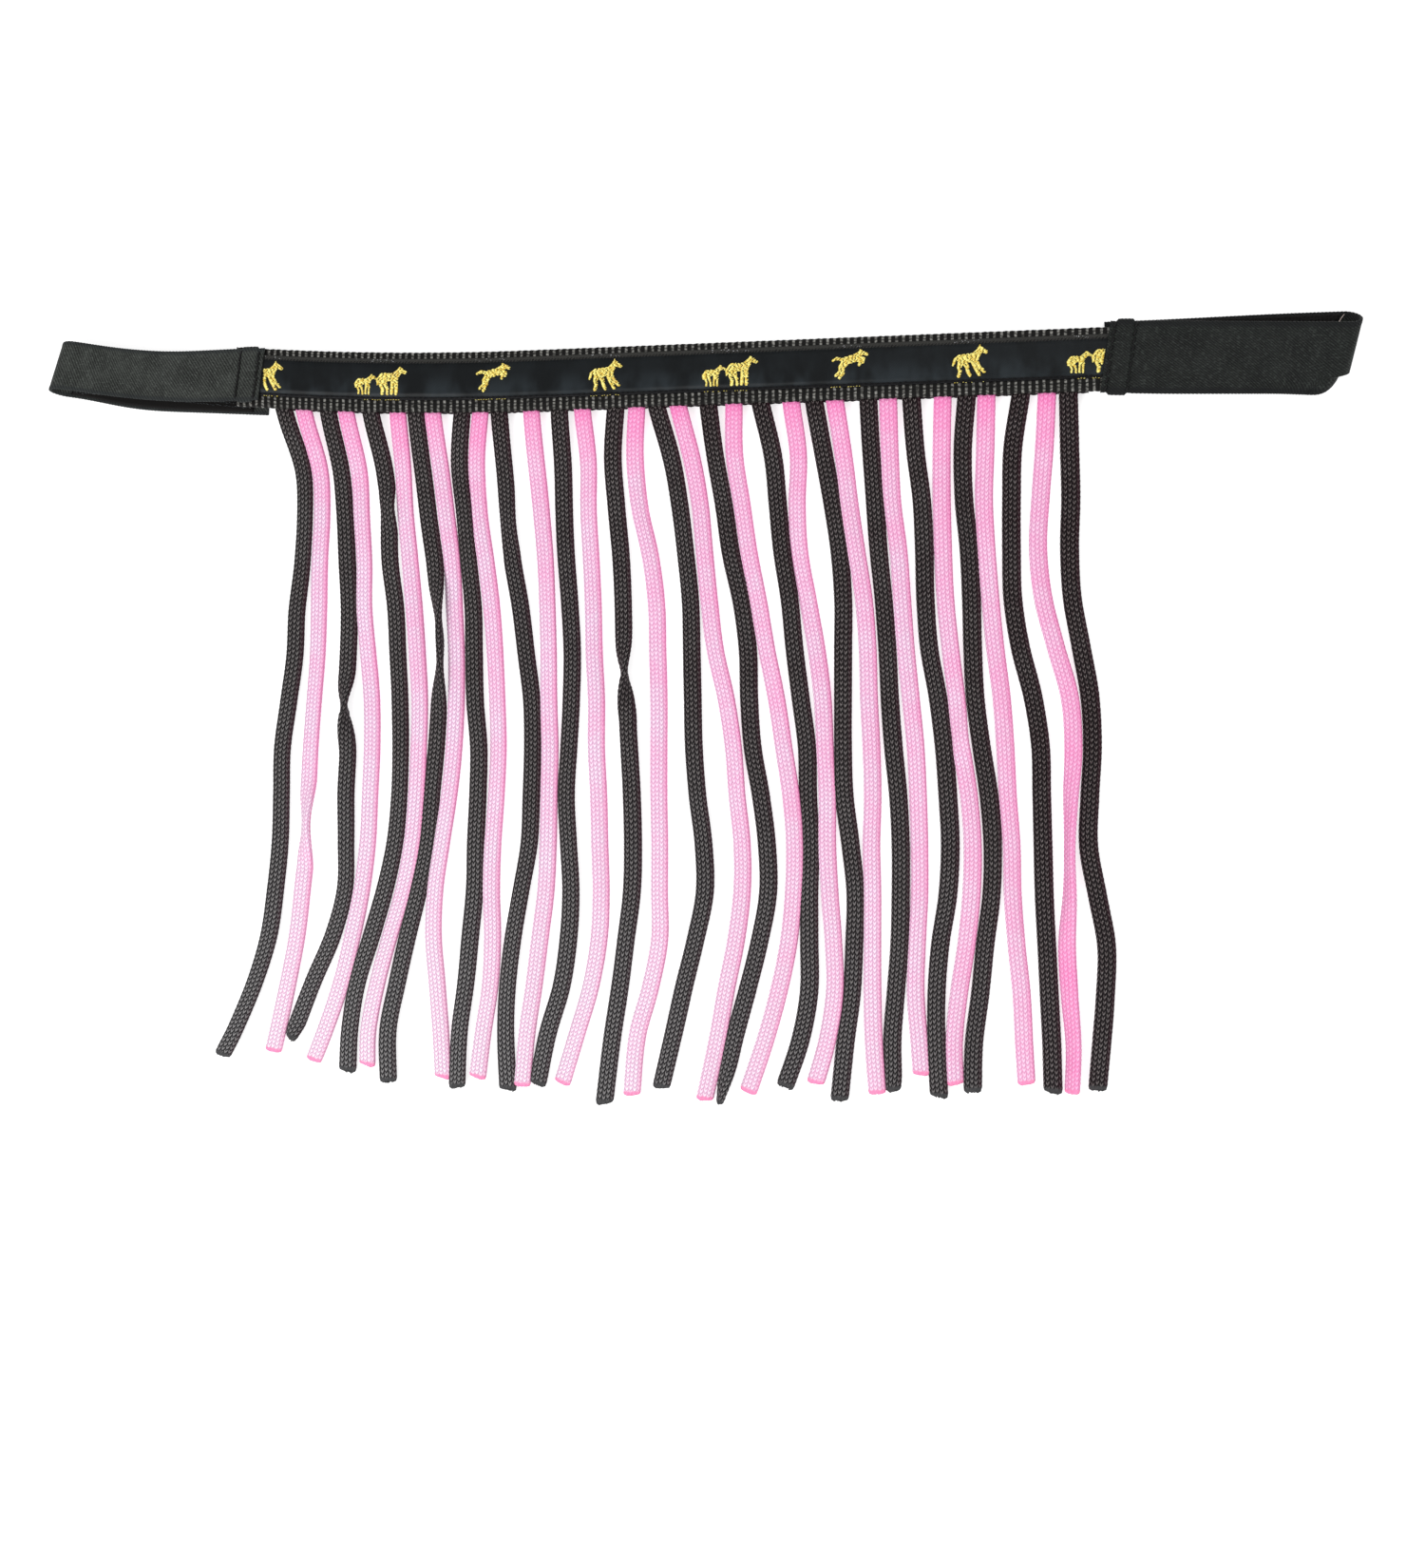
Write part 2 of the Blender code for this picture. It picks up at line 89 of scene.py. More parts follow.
# Each cord's middle, sideways in mm, at every station down the fringe, then its cut end (x, y).
ROUTES = (
    ((-167.5, -161.5, -160.5, -161.5, -164, -165, -168, -171, -171.5, -172, -174, -177, -183, -191.5),
     (-198, -286.5)),
    ((-159, -154, -153, -154, -154.5, -155, -156.5, -158, -159, -159.5, -161.5, -164, -168, -172.5),
     (-175, -284.5)),
    ((-148.5, -144.5, -142.5, -141.5, -140.5, -141, -142, -141, -142, -142, -142.5, -148, -157, -165),
     (-166.5, -278.5)),
    ((-140.5, -136.5, -135, -133.5, -133.5, -132, -130.5, -130.5, -131.5, -132.5, -135, -139, -144, -151),
     (-156.5, -288)),
    ((-129.5, -125, -123, -122.5, -120, -119, -118, -117.5, -118, -120, -124.5, -130.5, -137, -140.5),
     (-141.5, -292)),
    ((-118, -116.5, -115.5, -113.5, -111.5, -110, -109, -109.5, -110.5, -112.5, -116.5, -122.5, -128, -132),
     (-132.5, -289.5)),
    ((-110, -108, -105.5, -102.5, -100.5, -99.5, -100.5, -102, -104, -105.5, -109.5, -114.5, -119, -123),
     (-123, -296)),
    ((-102.5, -100, -97.5, -95, -94, -93, -93, -94, -96, -99, -102, -103, -101.5, -100),
     (-99, -294)),
    ((-90, -91.5, -89.5, -87.5, -85.5, -85, -84.5, -83, -83.5, -84.5, -85, -87, -89, -91.5),
     (-92.5, -297.5)),
    ((-82, -84, -83, -80, -77.5, -76, -75, -74.5, -75.5, -77, -77.5, -77, -78, -81),
     (-83.5, -293.5)),
    ((-73.5, -72, -70.5, -68.5, -65, -62.5, -60, -59.5, -60, -61, -64.5, -68, -70.5, -71.5),
     (-70.5, -298)),
    ((-59.5, -58, -56, -54, -53, -52.5, -52.5, -52, -52.5, -53, -54, -56.5, -59, -62),
     (-64, -296.5)),
    ((-47.5, -46.5, -46, -45, -43.5, -42.5, -43, -44, -45, -44, -43, -44, -47, -53),
     (-57.5, -295.5)),
    ((-37.5, -35.5, -35.5, -34.5, -33.5, -33, -32, -32, -31, -30.5, -30, -31, -34.5, -40.5),
     (-47, -295)),
    ((-23.5, -25, -23.5, -21.5, -20.5, -20, -19, -18, -17, -16.5, -17, -19.5, -22, -25),
     (-28.5, -302.5)),
    ((-14.5, -15.5, -13.5, -9, -6.5, -6, -5.5, -5.5, -5.5, -5, -5, -5, -9, -14.5),
     (-17, -299)),
    ((-5.5, 0, 3.5, 6, 8, 8.5, 9, 9.5, 11, 13.5, 14, 10, 5, 0.5),
     (-4.5, -295.5)),
    ((3.5, 8.5, 12, 14, 16, 18.5, 23, 26, 27.5, 29.5, 29.5, 27, 23, 19.5),
     (14, -300)),
    ((16, 18.5, 22, 25, 29.5, 32, 32.5, 34, 37.5, 40, 40.5, 37, 32, 26.5),
     (20.5, -301)),
    ((26.5, 26.5, 29.5, 32.5, 36.5, 40, 44, 47, 50, 51.5, 51, 49, 45, 39.5),
     (32, -296.5)),
    ((38, 42.5, 44.5, 46.5, 49.5, 51.5, 54, 56.5, 57, 58, 57.5, 57.5, 57.5, 54),
     (47.5, -293.5)),
    ((50.5, 53, 52.5, 53.5, 57, 60.5, 63, 64, 65, 65, 66, 67.5, 68, 65),
     (60, -292)),
    ((60, 63.5, 67, 70, 71.5, 71.5, 71.5, 71.5, 72, 74.5, 76.5, 76, 75, 72.5),
     (70, -298.5)),
    ((68.5, 71.5, 74, 77, 80, 81.5, 82, 83, 83.5, 83, 83.5, 83.5, 83.5, 84),
     (85.5, -295.5)),
    ((82, 83, 84.5, 86, 88, 89.5, 90.5, 92, 94, 95, 95, 94.5, 93, 91.5),
     (92, -294)),
    ((90, 90.5, 91.5, 94, 95.5, 97, 99, 101, 102, 102.5, 102.5, 101.5, 101, 102.5),
     (103.5, -287.5)),
    ((99.5, 101, 103.5, 104.5, 105, 106.5, 110, 112.5, 114, 115, 114, 111, 109.5, 109.5),
     (110.5, -296)),
    ((112, 111.5, 111.5, 112, 113, 115, 117.5, 119.5, 122.5, 124, 123.5, 121.5, 118.5, 116.5),
     (117, -291)),
    ((121.5, 120, 120.5, 122.5, 123.5, 124, 125, 127.5, 130.5, 132, 131.5, 129, 127, 124.5),
     (124, -293.5)),
    ((129.5, 129, 128.5, 129.5, 131, 133, 135.5, 137, 138, 139.5, 140, 141.5, 143.5, 144.5),
     (145.5, -290)),
    ((143, 140, 139.5, 139.5, 140, 143, 148, 151, 151.5, 152, 152.5, 153.5, 154.5, 155.5),
     (156, -293)),
    ((153.5, 152.5, 151, 150, 152, 157, 162.5, 164, 163, 162.5, 162.5, 161.5, 162.5, 164),
     (163.5, -293)),
    ((162, 162.5, 163, 162.5, 163.5, 167, 170.5, 171.5, 170.5, 170, 173.5, 177, 176.5, 175),
     (173.5, -291.5)),
)

# Where a cord turns over (cord, y of the middle, stretch in mm), and where it leans over on its edge
# (cord, y of the middle, half stretch in mm, angle in degrees).
FLIPS = ((3, -138, 40), (15, -126, 44))
LEANS = (
    (7, -108, 34, 76), (2, -187, 22, 55), (5, -52, 12, 30), (32, -194, 56, 66), (32, -288, 62, 44),
    (19, -304, 24, 80), (25, -300, 16, 50), (3, -282, 12, 55), (28, -150, 14, 25), (11, -60, 18, 22),
)

# Each strap: its sewn edge's middle (x, y in mm), its side, its turn and its flap's (degrees), and how far up
# the flap is shifted (mm).
LOOPS = {
    "left": ((-178, 6.0), -1, -4.6, -6.7, -1.4),
    "right": ((176.3, 0.4), 1, -2.8, 0.1, 6.6),
}
FOLD_PULL = {"left": -3.7 * MM, "right": -3.1 * MM}  # how much shorter each loop is than the CAD model's
FLAP_END = {"left": -1.0 * MM, "right": 1.0 * MM}  # the flap's free end, outwards from the sewn edge


def bend(x):
    """How far the band's middle line lies from its straight line at x, measured from its middle."""
    x = np.asarray(x, float)
    return np.where(x < BEND_START, (x - BEND_START) ** 2 / (2 * BEND_RADIUS), 0.0)


def lower_edge(x):
    """Where the band's lower edge is at x, above its straight middle line."""
    return float(bend(x)) - BAND_WIDTH / 2


def smooth(t):
    t = np.clip(t, 0, 1)
    return t * t * (3 - 2 * t)


# ---- camera, lights and floor

CAMERA_DISTANCE = 758 * MM
CAMERA_TURN = math.radians(9.5)  # about the picture's upright: the right side is nearer
CAMERA_TARGET = Vector((BAND_X + 17.2 * MM, BAND_Y - 169.1 * MM, 2 * MM))


def make_camera():
    data = bpy.data.cameras.new("camera")
    data.lens = 42
    data.sensor_width = 36
    data.clip_start = 0.01
    data.clip_end = 120
    camera = bpy.data.objects.new("camera", data)
    bpy.context.scene.collection.objects.link(camera)
    back = Vector((math.sin(CAMERA_TURN), 0, math.cos(CAMERA_TURN)))
    camera.location = CAMERA_TARGET + back * CAMERA_DISTANCE
    camera.rotation_euler = (0, CAMERA_TURN, 0)
    bpy.context.scene.camera = camera


FLOOR_GLOW = 0.70  # a light table's share, so that the shadows stay faint
FLOOR_HALF = 45  # metres, so that low views don't see its edge
WHITE = (1, 1, 1)


def area_light(name, place, target, size, power):
    data = bpy.data.lights.new(name, "AREA")
    data.shape = "RECTANGLE"
    data.size, data.size_y = size
    data.energy = power
    data.color = WHITE
    light = bpy.data.objects.new(name, data)
    light.location = place
    light.rotation_euler = (Vector(target) - Vector(place)).to_track_quat("-Z", "Y").to_euler()
    bpy.context.scene.collection.objects.link(light)


def make_studio():
    scene = bpy.context.scene
    world = bpy.data.worlds.new("studio")
    world.use_nodes = True
    background = world.node_tree.nodes["Background"]
    background.inputs[0].default_value = (*WHITE, 1)
    background.inputs[1].default_value = 0.5
    scene.world = world
    scene.view_settings.view_transform = "Standard"
    area_light("key", (-0.7, -1.0, 1.5), (0, -0.15, 0), (1.2, 0.9), 24)
    area_light("fill", (0.9, 0.5, 1.6), (0, -0.15, 0), (1.4, 1.2), 10)
    mesh = bpy.data.meshes.new("floor")
    corners = [(x * FLOOR_HALF, y * FLOOR_HALF, 0) for x, y in ((-1, -1), (1, -1), (1, 1), (-1, 1))]
    mesh.from_pydata(corners, [], [(0, 1, 2, 3)])
    floor = bpy.data.objects.new("floor", mesh)
    look = bpy.data.materials.new("floor_white")
    look.use_nodes = True
    shader = look.node_tree.nodes["Principled BSDF"]
    for socket, value in (("Base Color", (0.55, 0.55, 0.55, 1)), ("Roughness", 0.9),
                          ("Specular IOR Level", 0.1), ("Emission Color", (*WHITE, 1)),
                          ("Emission Strength", FLOOR_GLOW)):
        shader.inputs[socket].default_value = value
    mesh.materials.append(look)
    scene.collection.objects.link(floor)


# ---- mesh helpers


def mesh_from(name, points, quads, caps, look):
    """A smooth mesh from arrays of points and quads, with its cap polygons."""
    mesh = bpy.data.meshes.new(name)
    totals = [4] * len(quads) + [len(c) for c in caps]
    starts = np.concatenate([[0], np.cumsum(totals)[:-1]])
    corners = np.concatenate([quads.ravel(), *caps]).astype(np.int32)
    mesh.vertices.add(len(points))
    mesh.vertices.foreach_set("co", np.asarray(points, np.float32).ravel())
    mesh.loops.add(len(corners))
    mesh.loops.foreach_set("vertex_index", corners)
    mesh.polygons.add(len(totals))
    mesh.polygons.foreach_set("loop_start", starts.astype(np.int32))
    mesh.polygons.foreach_set("use_smooth", np.ones(len(totals), bool))
    mesh.update(calc_edges=True)
    mesh.validate()
    mesh.materials.append(look)
    made = bpy.data.objects.new(name, mesh)
    bpy.context.scene.collection.objects.link(made)
    return made


def tube_quads(rings, sides):
    """Quads of a tube whose points run round each ring, facing out."""
    i = np.arange(rings - 1)[:, None] * sides
    j = np.arange(sides)[None, :]
    k = (j + 1) % sides
    return np.stack([i + j, i + k, i + sides + k, i + sides + j], -1).reshape(-1, 4)


def tube_caps(rings, sides):
    return [np.arange(sides)[::-1], (rings - 1) * sides + np.arange(sides)]


def tube_mesh(name, points, look):
    """A closed tube from its rings of points, an array of (rings, sides, 3)."""
    rings, sides = points.shape[:2]
    return mesh_from(name, points.reshape(-1, 3), tube_quads(rings, sides), tube_caps(rings, sides), look)


def give(obj, name, values):
    """Stores one number for each point, for the materials to read."""
    attribute = obj.data.attributes.new(name, "FLOAT", "POINT")
    attribute.data.foreach_set("value", np.asarray(values, np.float32).ravel())


def give_uv(obj, u, v):
    """A UV map in metres from each point's place across the surface (u) and along it (v)."""
    layer = obj.data.uv_layers.new(name="Surface")
    index = np.zeros(len(obj.data.loops), np.int32)
    obj.data.loops.foreach_get("vertex_index", index)
    uv = np.stack(np.broadcast_arrays(u, v), -1).reshape(-1, 2)
    layer.data.foreach_set("uv", uv.astype(np.float32)[index].ravel())


def place_uv(obj):
    """A UV map from the points' own places, which is enough for a fine grain."""
    places = np.zeros(len(obj.data.vertices) * 3, np.float32)
    obj.data.vertices.foreach_get("co", places)
    x, y, z = places.reshape(-1, 3).T
    give_uv(obj, x + z, y + z)


def hand_over(piece, body, slot, *nodes):
    """Puts a piece on the body that it rides on and hides the CAD nodes that it stands for; slot is not used.
    """
    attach(piece, body)
    if nodes:
        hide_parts(*nodes)


def section(width, thick, power, places, reach, steps):
    """Points round a flat strip's section from the middle of its underside, with directions out of it.

    places and reach (how far each way a direction is measured) are shares of the way round, from 0 to 1.
    """
    fine = np.linspace(0, 2 * math.pi, steps) - math.pi / 2
    c, s = np.cos(fine), np.sin(fine)
    x = np.sign(c) * np.abs(c) ** (2 / power) * width / 2
    y = np.sign(s) * np.abs(s) ** (2 / power) * thick / 2
    run = np.concatenate([[0], np.cumsum(np.hypot(np.diff(x), np.diff(y)))])
    at = places * run[-1]
    ahead, behind = (at + reach * run[-1]) % run[-1], (at - reach * run[-1]) % run[-1]
    tx = np.interp(ahead, run, x) - np.interp(behind, run, x)
    ty = np.interp(ahead, run, y) - np.interp(behind, run, y)
    size = np.hypot(tx, ty)
    return np.interp(at, run, x), np.interp(at, run, y), ty / size, -tx / size, at, run[-1]


def flat_section(width, thick, count, power):
    """A section of equally spaced points."""
    return section(width, thick, power, np.arange(count) / count, 0.5 / count, 9001)[:5]


def many_tubes(name, paths, radius, sides, look, flat=1.0):
    """Many threads as one mesh, tapered at both ends. Each path is an (n, 3) array; flat squashes them."""
    points, quads, caps, base = [], [], [], 0
    angles = np.arange(sides) * 2 * math.pi / sides
    cos, sin = np.cos(angles)[None, :, None], np.sin(angles)[None, :, None]
    for path in paths:
        n = len(path)
        along = np.gradient(path, axis=0)
        along /= np.linalg.norm(along, axis=1)[:, None] + 1e-12
        up = np.array([0, 0, 1.0]) - along * along[:, 2:3]
        weak = np.linalg.norm(up, axis=1) < 0.2
        up[weak] = np.array([0, 1.0, 0])
        up -= along * (up * along).sum(1)[:, None]
        up /= np.linalg.norm(up, axis=1)[:, None] + 1e-12
        side = np.cross(up, along)
        t = np.linspace(-1, 1, n)
        r = radius * np.sqrt(np.clip(1 - 0.8 * t**6, 0.1, 1))
        ring = side[:, None] * cos + flat * up[:, None] * sin
        points.append((path[:, None] + ring * r[:, None, None]).reshape(-1, 3))
        quads.append(tube_quads(n, sides) + base)
        caps += [c + base for c in tube_caps(n, sides)]
        base += n * sides
    made = mesh_from(name, np.concatenate(points), np.concatenate(quads), caps, look)
    place_uv(made)
    return made


# ---- materials


class Look:
    """A material whose nodes are added one call at a time."""

    def __init__(self, name, roughness, specular, sheen=0.0, metallic=0.0):
        self.material = bpy.data.materials.new(name)
        self.material.use_nodes = True
        self.tree = self.material.node_tree
        self.shader = self.tree.nodes["Principled BSDF"]
        for socket, value in (("Roughness", roughness), ("Specular IOR Level", specular),
                              ("Metallic", metallic), ("Sheen Weight", sheen), ("Sheen Roughness", 0.4)):
            self.shader.inputs[socket].default_value = value

    def node(self, kind, **settings):
        made = self.tree.nodes.new(kind)
        for key, value in settings.items():
            setattr(made, key, value)
        return made

    def put(self, socket, value):
        """A link where the value is another node's output, and else the socket's own value."""
        if hasattr(value, "is_output"):
            self.tree.links.new(value, socket)
        elif isinstance(value, tuple) and len(value) == 3 and socket.type == "RGBA":
            socket.default_value = (*value, 1)
        else:
            socket.default_value = value

    def number(self, name):
        """A number stored on the mesh's points."""
        return self.node("ShaderNodeAttribute", attribute_name=name).outputs["Fac"]

    def uv(self, scale=(1, 1, 1)):
        """The surface's own coordinates, in metres, scaled."""
        source = self.node("ShaderNodeUVMap", uv_map="Surface")
        mapping = self.node("ShaderNodeMapping")
        mapping.inputs["Scale"].default_value = scale
        self.tree.links.new(source.outputs["UV"], mapping.inputs["Vector"])
        return mapping.outputs["Vector"]

    def places(self):
        """How far each point lies across the surface and along it."""
        split = self.node("ShaderNodeSeparateXYZ")
        self.tree.links.new(self.uv(), split.inputs[0])
        return split.outputs[0], split.outputs[1]

    def math(self, operation, a, b=0.0, clamp=False):
        made = self.node("ShaderNodeMath", operation=operation, use_clamp=clamp)
        self.put(made.inputs[0], a)
        self.put(made.inputs[1], b)
        return made.outputs[0]

    def plus(self, a, b, clamp=False):
        return self.math("ADD", a, b, clamp)

    def times(self, a, b):
        return self.math("MULTIPLY", a, b)

    def wave(self, value, length):
        """A sine wave of that length along value, from -1 to 1."""
        return self.math("SINE", self.times(value, 2 * math.pi / length))

    def mix(self, factor, a, b):
        made = self.node("ShaderNodeMix", data_type="RGBA")
        for socket, value in zip((made.inputs["Factor"], made.inputs[6], made.inputs[7]), (factor, a, b)):
            self.put(socket, value)
        return made.outputs[2]

    def ramp(self, value, low, high, out_low=0.0, out_high=1.0):
        """A number going smoothly from out_low to out_high as value goes from low to high."""
        made = self.node("ShaderNodeMapRange", interpolation_type="SMOOTHSTEP")
        for key, v in zip(("Value", "From Min", "From Max", "To Min", "To Max"),
                          (value, low, high, out_low, out_high)):
            self.put(made.inputs[key], v)
        return made.outputs[0]

    def noise(self, scale, stretch=(1, 1, 1), detail=3.0):
        made = self.node("ShaderNodeTexNoise")
        for key, value in (("Scale", scale), ("Detail", detail), ("Roughness", 0.6)):
            made.inputs[key].default_value = value
        self.tree.links.new(self.uv(stretch), made.inputs["Vector"])
        return made.outputs["Fac"]

    def bump(self, height, distance, strength):
        made = self.node("ShaderNodeBump")
        made.inputs["Distance"].default_value = distance
        made.inputs["Strength"].default_value = strength
        self.tree.links.new(height, made.inputs["Height"])
        self.tree.links.new(made.outputs["Normal"], self.shader.inputs["Normal"])

    def colour(self, value):
        self.put(self.shader.inputs["Base Color"], value)

    def rough(self, value):
        self.put(self.shader.inputs["Roughness"], value)


def lighter(colour, times):
    return tuple(min(1.0, times * part) for part in colour)


def cord_look(name, groove, dark, light, edge, hot, lit_colours_and_end, sheen, specular, lifted):
    """Braided polyester: pale strands with grooves darkened as painted shade, a painted shade along each
    cord's right side and under the band, and painted light that makes it paler low down.

    lit_colours_and_end has the strands' and grooves' colours under that painted light, then the cut end's
    colour; lifted has the fibres' painted glint and its share.
    """
    look = Look(name, roughness=0.62, specular=specular, sheen=sheen)
    braid, shade, side = look.number("braid"), look.number("shade"), look.number("side")
    patches = look.noise(90)
    fibres = look.noise(5200, (1, 0.35, 1), 2)
    # Painted shade, plus a tone that differs at random, moves the colours towards hot and groove.
    tone = look.plus(shade, look.ramp(patches, 0.3, 0.7, -0.12, 0.12), clamp=True)
    base = look.mix(tone, light, hot)
    low = look.mix(tone, dark, groove)
    # Painted light: strands and grooves paler low down, less so towards the right.
    painted_light = look.number("painted_light")
    base = look.mix(painted_light, base, lit_colours_and_end[0])
    low = look.mix(painted_light, low, lit_colours_and_end[1])
    # The grooves between the strands are darkened here as painted shade.
    body = look.mix(look.ramp(braid, 0.15, 0.72), low, base)
    # Painted glints on the strands' tops, in the colour and share given by lifted.
    glint = look.times(look.ramp(braid, 0.55, 1.0), look.ramp(fibres, 0.42, 0.62))
    body = look.mix(look.times(glint, lifted[3]), body, lifted[:3])
    # Painted shade along each cord's right side, the side away from the light.
    shaded_side_part = look.times(look.ramp(side, 0.45, 1.05), look.ramp(painted_light, 0.0, 1.0, 0.75, 0.4))
    body = look.mix(shaded_side_part, body, edge)
    look.colour(look.mix(look.number("end"), body, lit_colours_and_end[2]))
    yarn = look.wave(look.number("strand"), 1 / 6)
    look.bump(look.plus(look.times(yarn, 0.5), fibres), 0.00006, 0.6)
    look.rough(look.ramp(fibres, 0.3, 0.7, 0.55, 0.8))
    return look.material


# ---- cords


def route_x(route, y):
    """A cord's sideways place at y, on a smooth curve through its stations, in metres."""
    stations, end = route
    points = [((FIRST_STATION + STATION_STEP * i) * MM, x * MM) for i, x in enumerate(stations)]
    points.append((end[1] * MM, end[0] * MM))
    last = len(points) - 2
    i = next((k for k in range(last) if y > points[k + 1][0]), last)

    def slope(k):
        a, b = points[max(k - 1, 0)], points[min(k + 1, last + 1)]
        return (b[1] - a[1]) / (b[0] - a[0])

    (y0, x0), (y1, x1) = points[i], points[i + 1]
    t = (y - y0) / (y1 - y0)
    if t < 0:
        return x0 + slope(i) * (y - y0)
    run = y1 - y0
    rise = (2 * t**3 - 3 * t**2 + 1) * x0 + (3 * t**2 - 2 * t**3) * x1
    return rise + (t**3 - 2 * t**2 + t) * run * slope(i) + (t**3 - t**2) * run * slope(i + 1)


def cord_section():
    """A flat cord's section, with POINTS_PER_COLUMN points on each column of stitches."""
    count = BRAID_COLUMNS * POINTS_PER_COLUMN
    places = ((np.arange(count) + 0.5) / count - 0.5 / BRAID_COLUMNS) % 1
    return section(CORD_WIDTH, CORD_THICK, 2.6, places, 0.01, 2881)


FRINGE_HALF = 170 * MM
PINK_PITCH = 1.88 * MM  # length of one braid stitch
BLACK_PITCH = 2.15 * MM
RING_STEP = 0.48 * MM
BRAID_COLUMNS = 20  # of stitches, round the cord
POINTS_PER_COLUMN = 3
BRAID_RISE = 0.34 * MM  # of the strands above the grooves


def cord_lean(number, y, drop, phase):
    """How far over the cord has turned at each y, in radians."""
    lean = np.zeros_like(y)
    for cord, middle, half, angle in LEANS:
        if cord == number:
            lean += math.radians(angle) * (1 - smooth(np.abs(y / MM - middle) / half))
    for cord, middle, stretch in FLIPS:
        if cord == number:
            lean += math.pi * smooth((middle + stretch / 2 - y / MM) / stretch)
    sway = 0.10 * np.sin(y / 0.041 + phase) + 0.07 * np.sin(y / 0.017 + 2 * phase)
    return lean + sway * smooth(drop / SETTLE)


def cord_path(number, route):
    """The cord's rings: their centres, how far over it has turned, and their distances along and down it."""
    hinge = lower_edge(route[0][0] * MM) - HINGE_DROP
    y = np.linspace(hinge + SEWN_IN, route[1][1] * MM, 900)
    drop = hinge - y
    phase = number * 2.4
    lean = cord_lean(number, y, drop, phase)
    lie = CORD_WIDTH / 2 * np.abs(np.sin(lean)) + (CORD_THICK / 2 + BRAID_RISE) * np.abs(np.cos(lean))
    lie += 0.5 * MM * (1 + np.sin(y / 0.033 + 1.7 * phase)) * smooth((drop - SETTLE) / SETTLE)
    z = HINGE_HEIGHT + (lie - HINGE_HEIGHT) * smooth(drop / SETTLE)
    points = np.stack([np.array([route_x(route, v) for v in y]) + BAND_X, y + BAND_Y, z], 1)
    run = np.concatenate([[0], np.cumsum(np.linalg.norm(np.diff(points, axis=0), axis=1))])
    at = np.linspace(0, run[-1], int(run[-1] / RING_STEP) + 1)
    path = np.stack([np.interp(at, run, points[:, i]) for i in range(3)], 1)
    return path, np.interp(at, run, lean), at, np.interp(at, run, drop)


def wander(random, count, step):
    """A smooth random number from -1 to 1 along a cord, changing every few steps."""
    knots = random.uniform(-1, 1, count // step + 3)
    at = np.arange(count) / step
    low = at.astype(int)
    t = smooth(at - low)
    return knots[low] * (1 - t) + knots[low + 1] * t


def rightwards(path):
    """How far right a cord lies, from 0 at the fringe's left side to 1 at its right."""
    return np.clip((path[:, 0] - BAND_X + FRINGE_HALF) / (2 * FRINGE_HALF), 0, 1)


def cord_shade(number, pink, path, drop, random):
    """How deep the cord's colour is drawn: painted shade, deepest just below the band where its shadow falls
    and towards the right, with a tone that differs at random along and between the cords.
    """
    across = rightwards(path)
    # near is the band's painted shadow, strongest just below it.
    near = np.exp(-np.clip(drop, 0, 1) / 0.016)
    low = np.clip(drop / 0.28, 0, 1)
    if pink:
        deep = 0.06 + 0.24 * across + 0.6 * near + 0.12 * np.exp(-np.clip(drop, 0, 1) / 0.09)
        deep += -0.08 * low * (1 - across) + 0.25 * np.clip(across - 0.7, 0, 1) / 0.3 * low
    else:
        deep = 0.25 + 0.45 * across + 0.35 * near
        deep += -0.2 * low * (1 - across) + 2.0 * np.clip(across - 0.86, 0, 1)
    deep += 0.09 * wander(random, len(path), 40) + random.uniform(-0.06, 0.06)
    if number == 32:  # it lies partly on edge, and its side shows, in deeper painted shade
        deep += 0.35 * np.exp(-(((drop - 0.18) / 0.05) ** 2)) + 0.45 * smooth((drop - 0.19) / 0.05)
    return np.clip(deep, 0, 1)


def cord_painted_light(path, drop):
    """Painted light that pales a cord: more towards its cut end, and less towards the right."""
    across = rightwards(path)
    return smooth((drop - 0.10) / 0.20) * (0.85 - 0.7 * across**1.6)


def cord_axes(path, lean):
    """At each ring, the directions along the cord, across its width and out of its face."""
    tangent = np.gradient(path, axis=0)
    tangent /= np.linalg.norm(tangent, axis=1)[:, None]
    right = np.cross([0, 0, 1.0], tangent)
    right /= np.linalg.norm(right, axis=1)[:, None]
    up = np.cross(tangent, right)
    cos, sin = np.cos(lean)[:, None], np.sin(lean)[:, None]
    return tangent, right * cos + up * sin, up * cos - right * sin


def cord_stitches(pitch, at, random):
    """How many stitches along the cord each point is, and how high its strand stands, from 0 to 1."""
    j = np.arange(BRAID_COLUMNS * POINTS_PER_COLUMN)
    q = ((j % POINTS_PER_COLUMN) + 0.5) / POINTS_PER_COLUMN * 2 - 1
    column = j // POINTS_PER_COLUMN
    direction = np.where(column % 2 == 0, 1.0, -1.0)
    chains = 0.35 * (column // 2 % 2) + random.uniform(-0.1, 0.1, BRAID_COLUMNS)[column] - 0.4 * q * direction
    jitter = 0.05 * wander(random, len(at), 9)
    phase = (at / pitch)[:, None] + chains + jitter[:, None]
    valley = np.where(q * direction < 0, 1.0, 0.3) * np.abs(q) ** 1.2  # deep between two chains of stitches
    return phase, (0.5 + 0.5 * np.cos(2 * math.pi * phase)) ** 0.7 * (1 - valley)


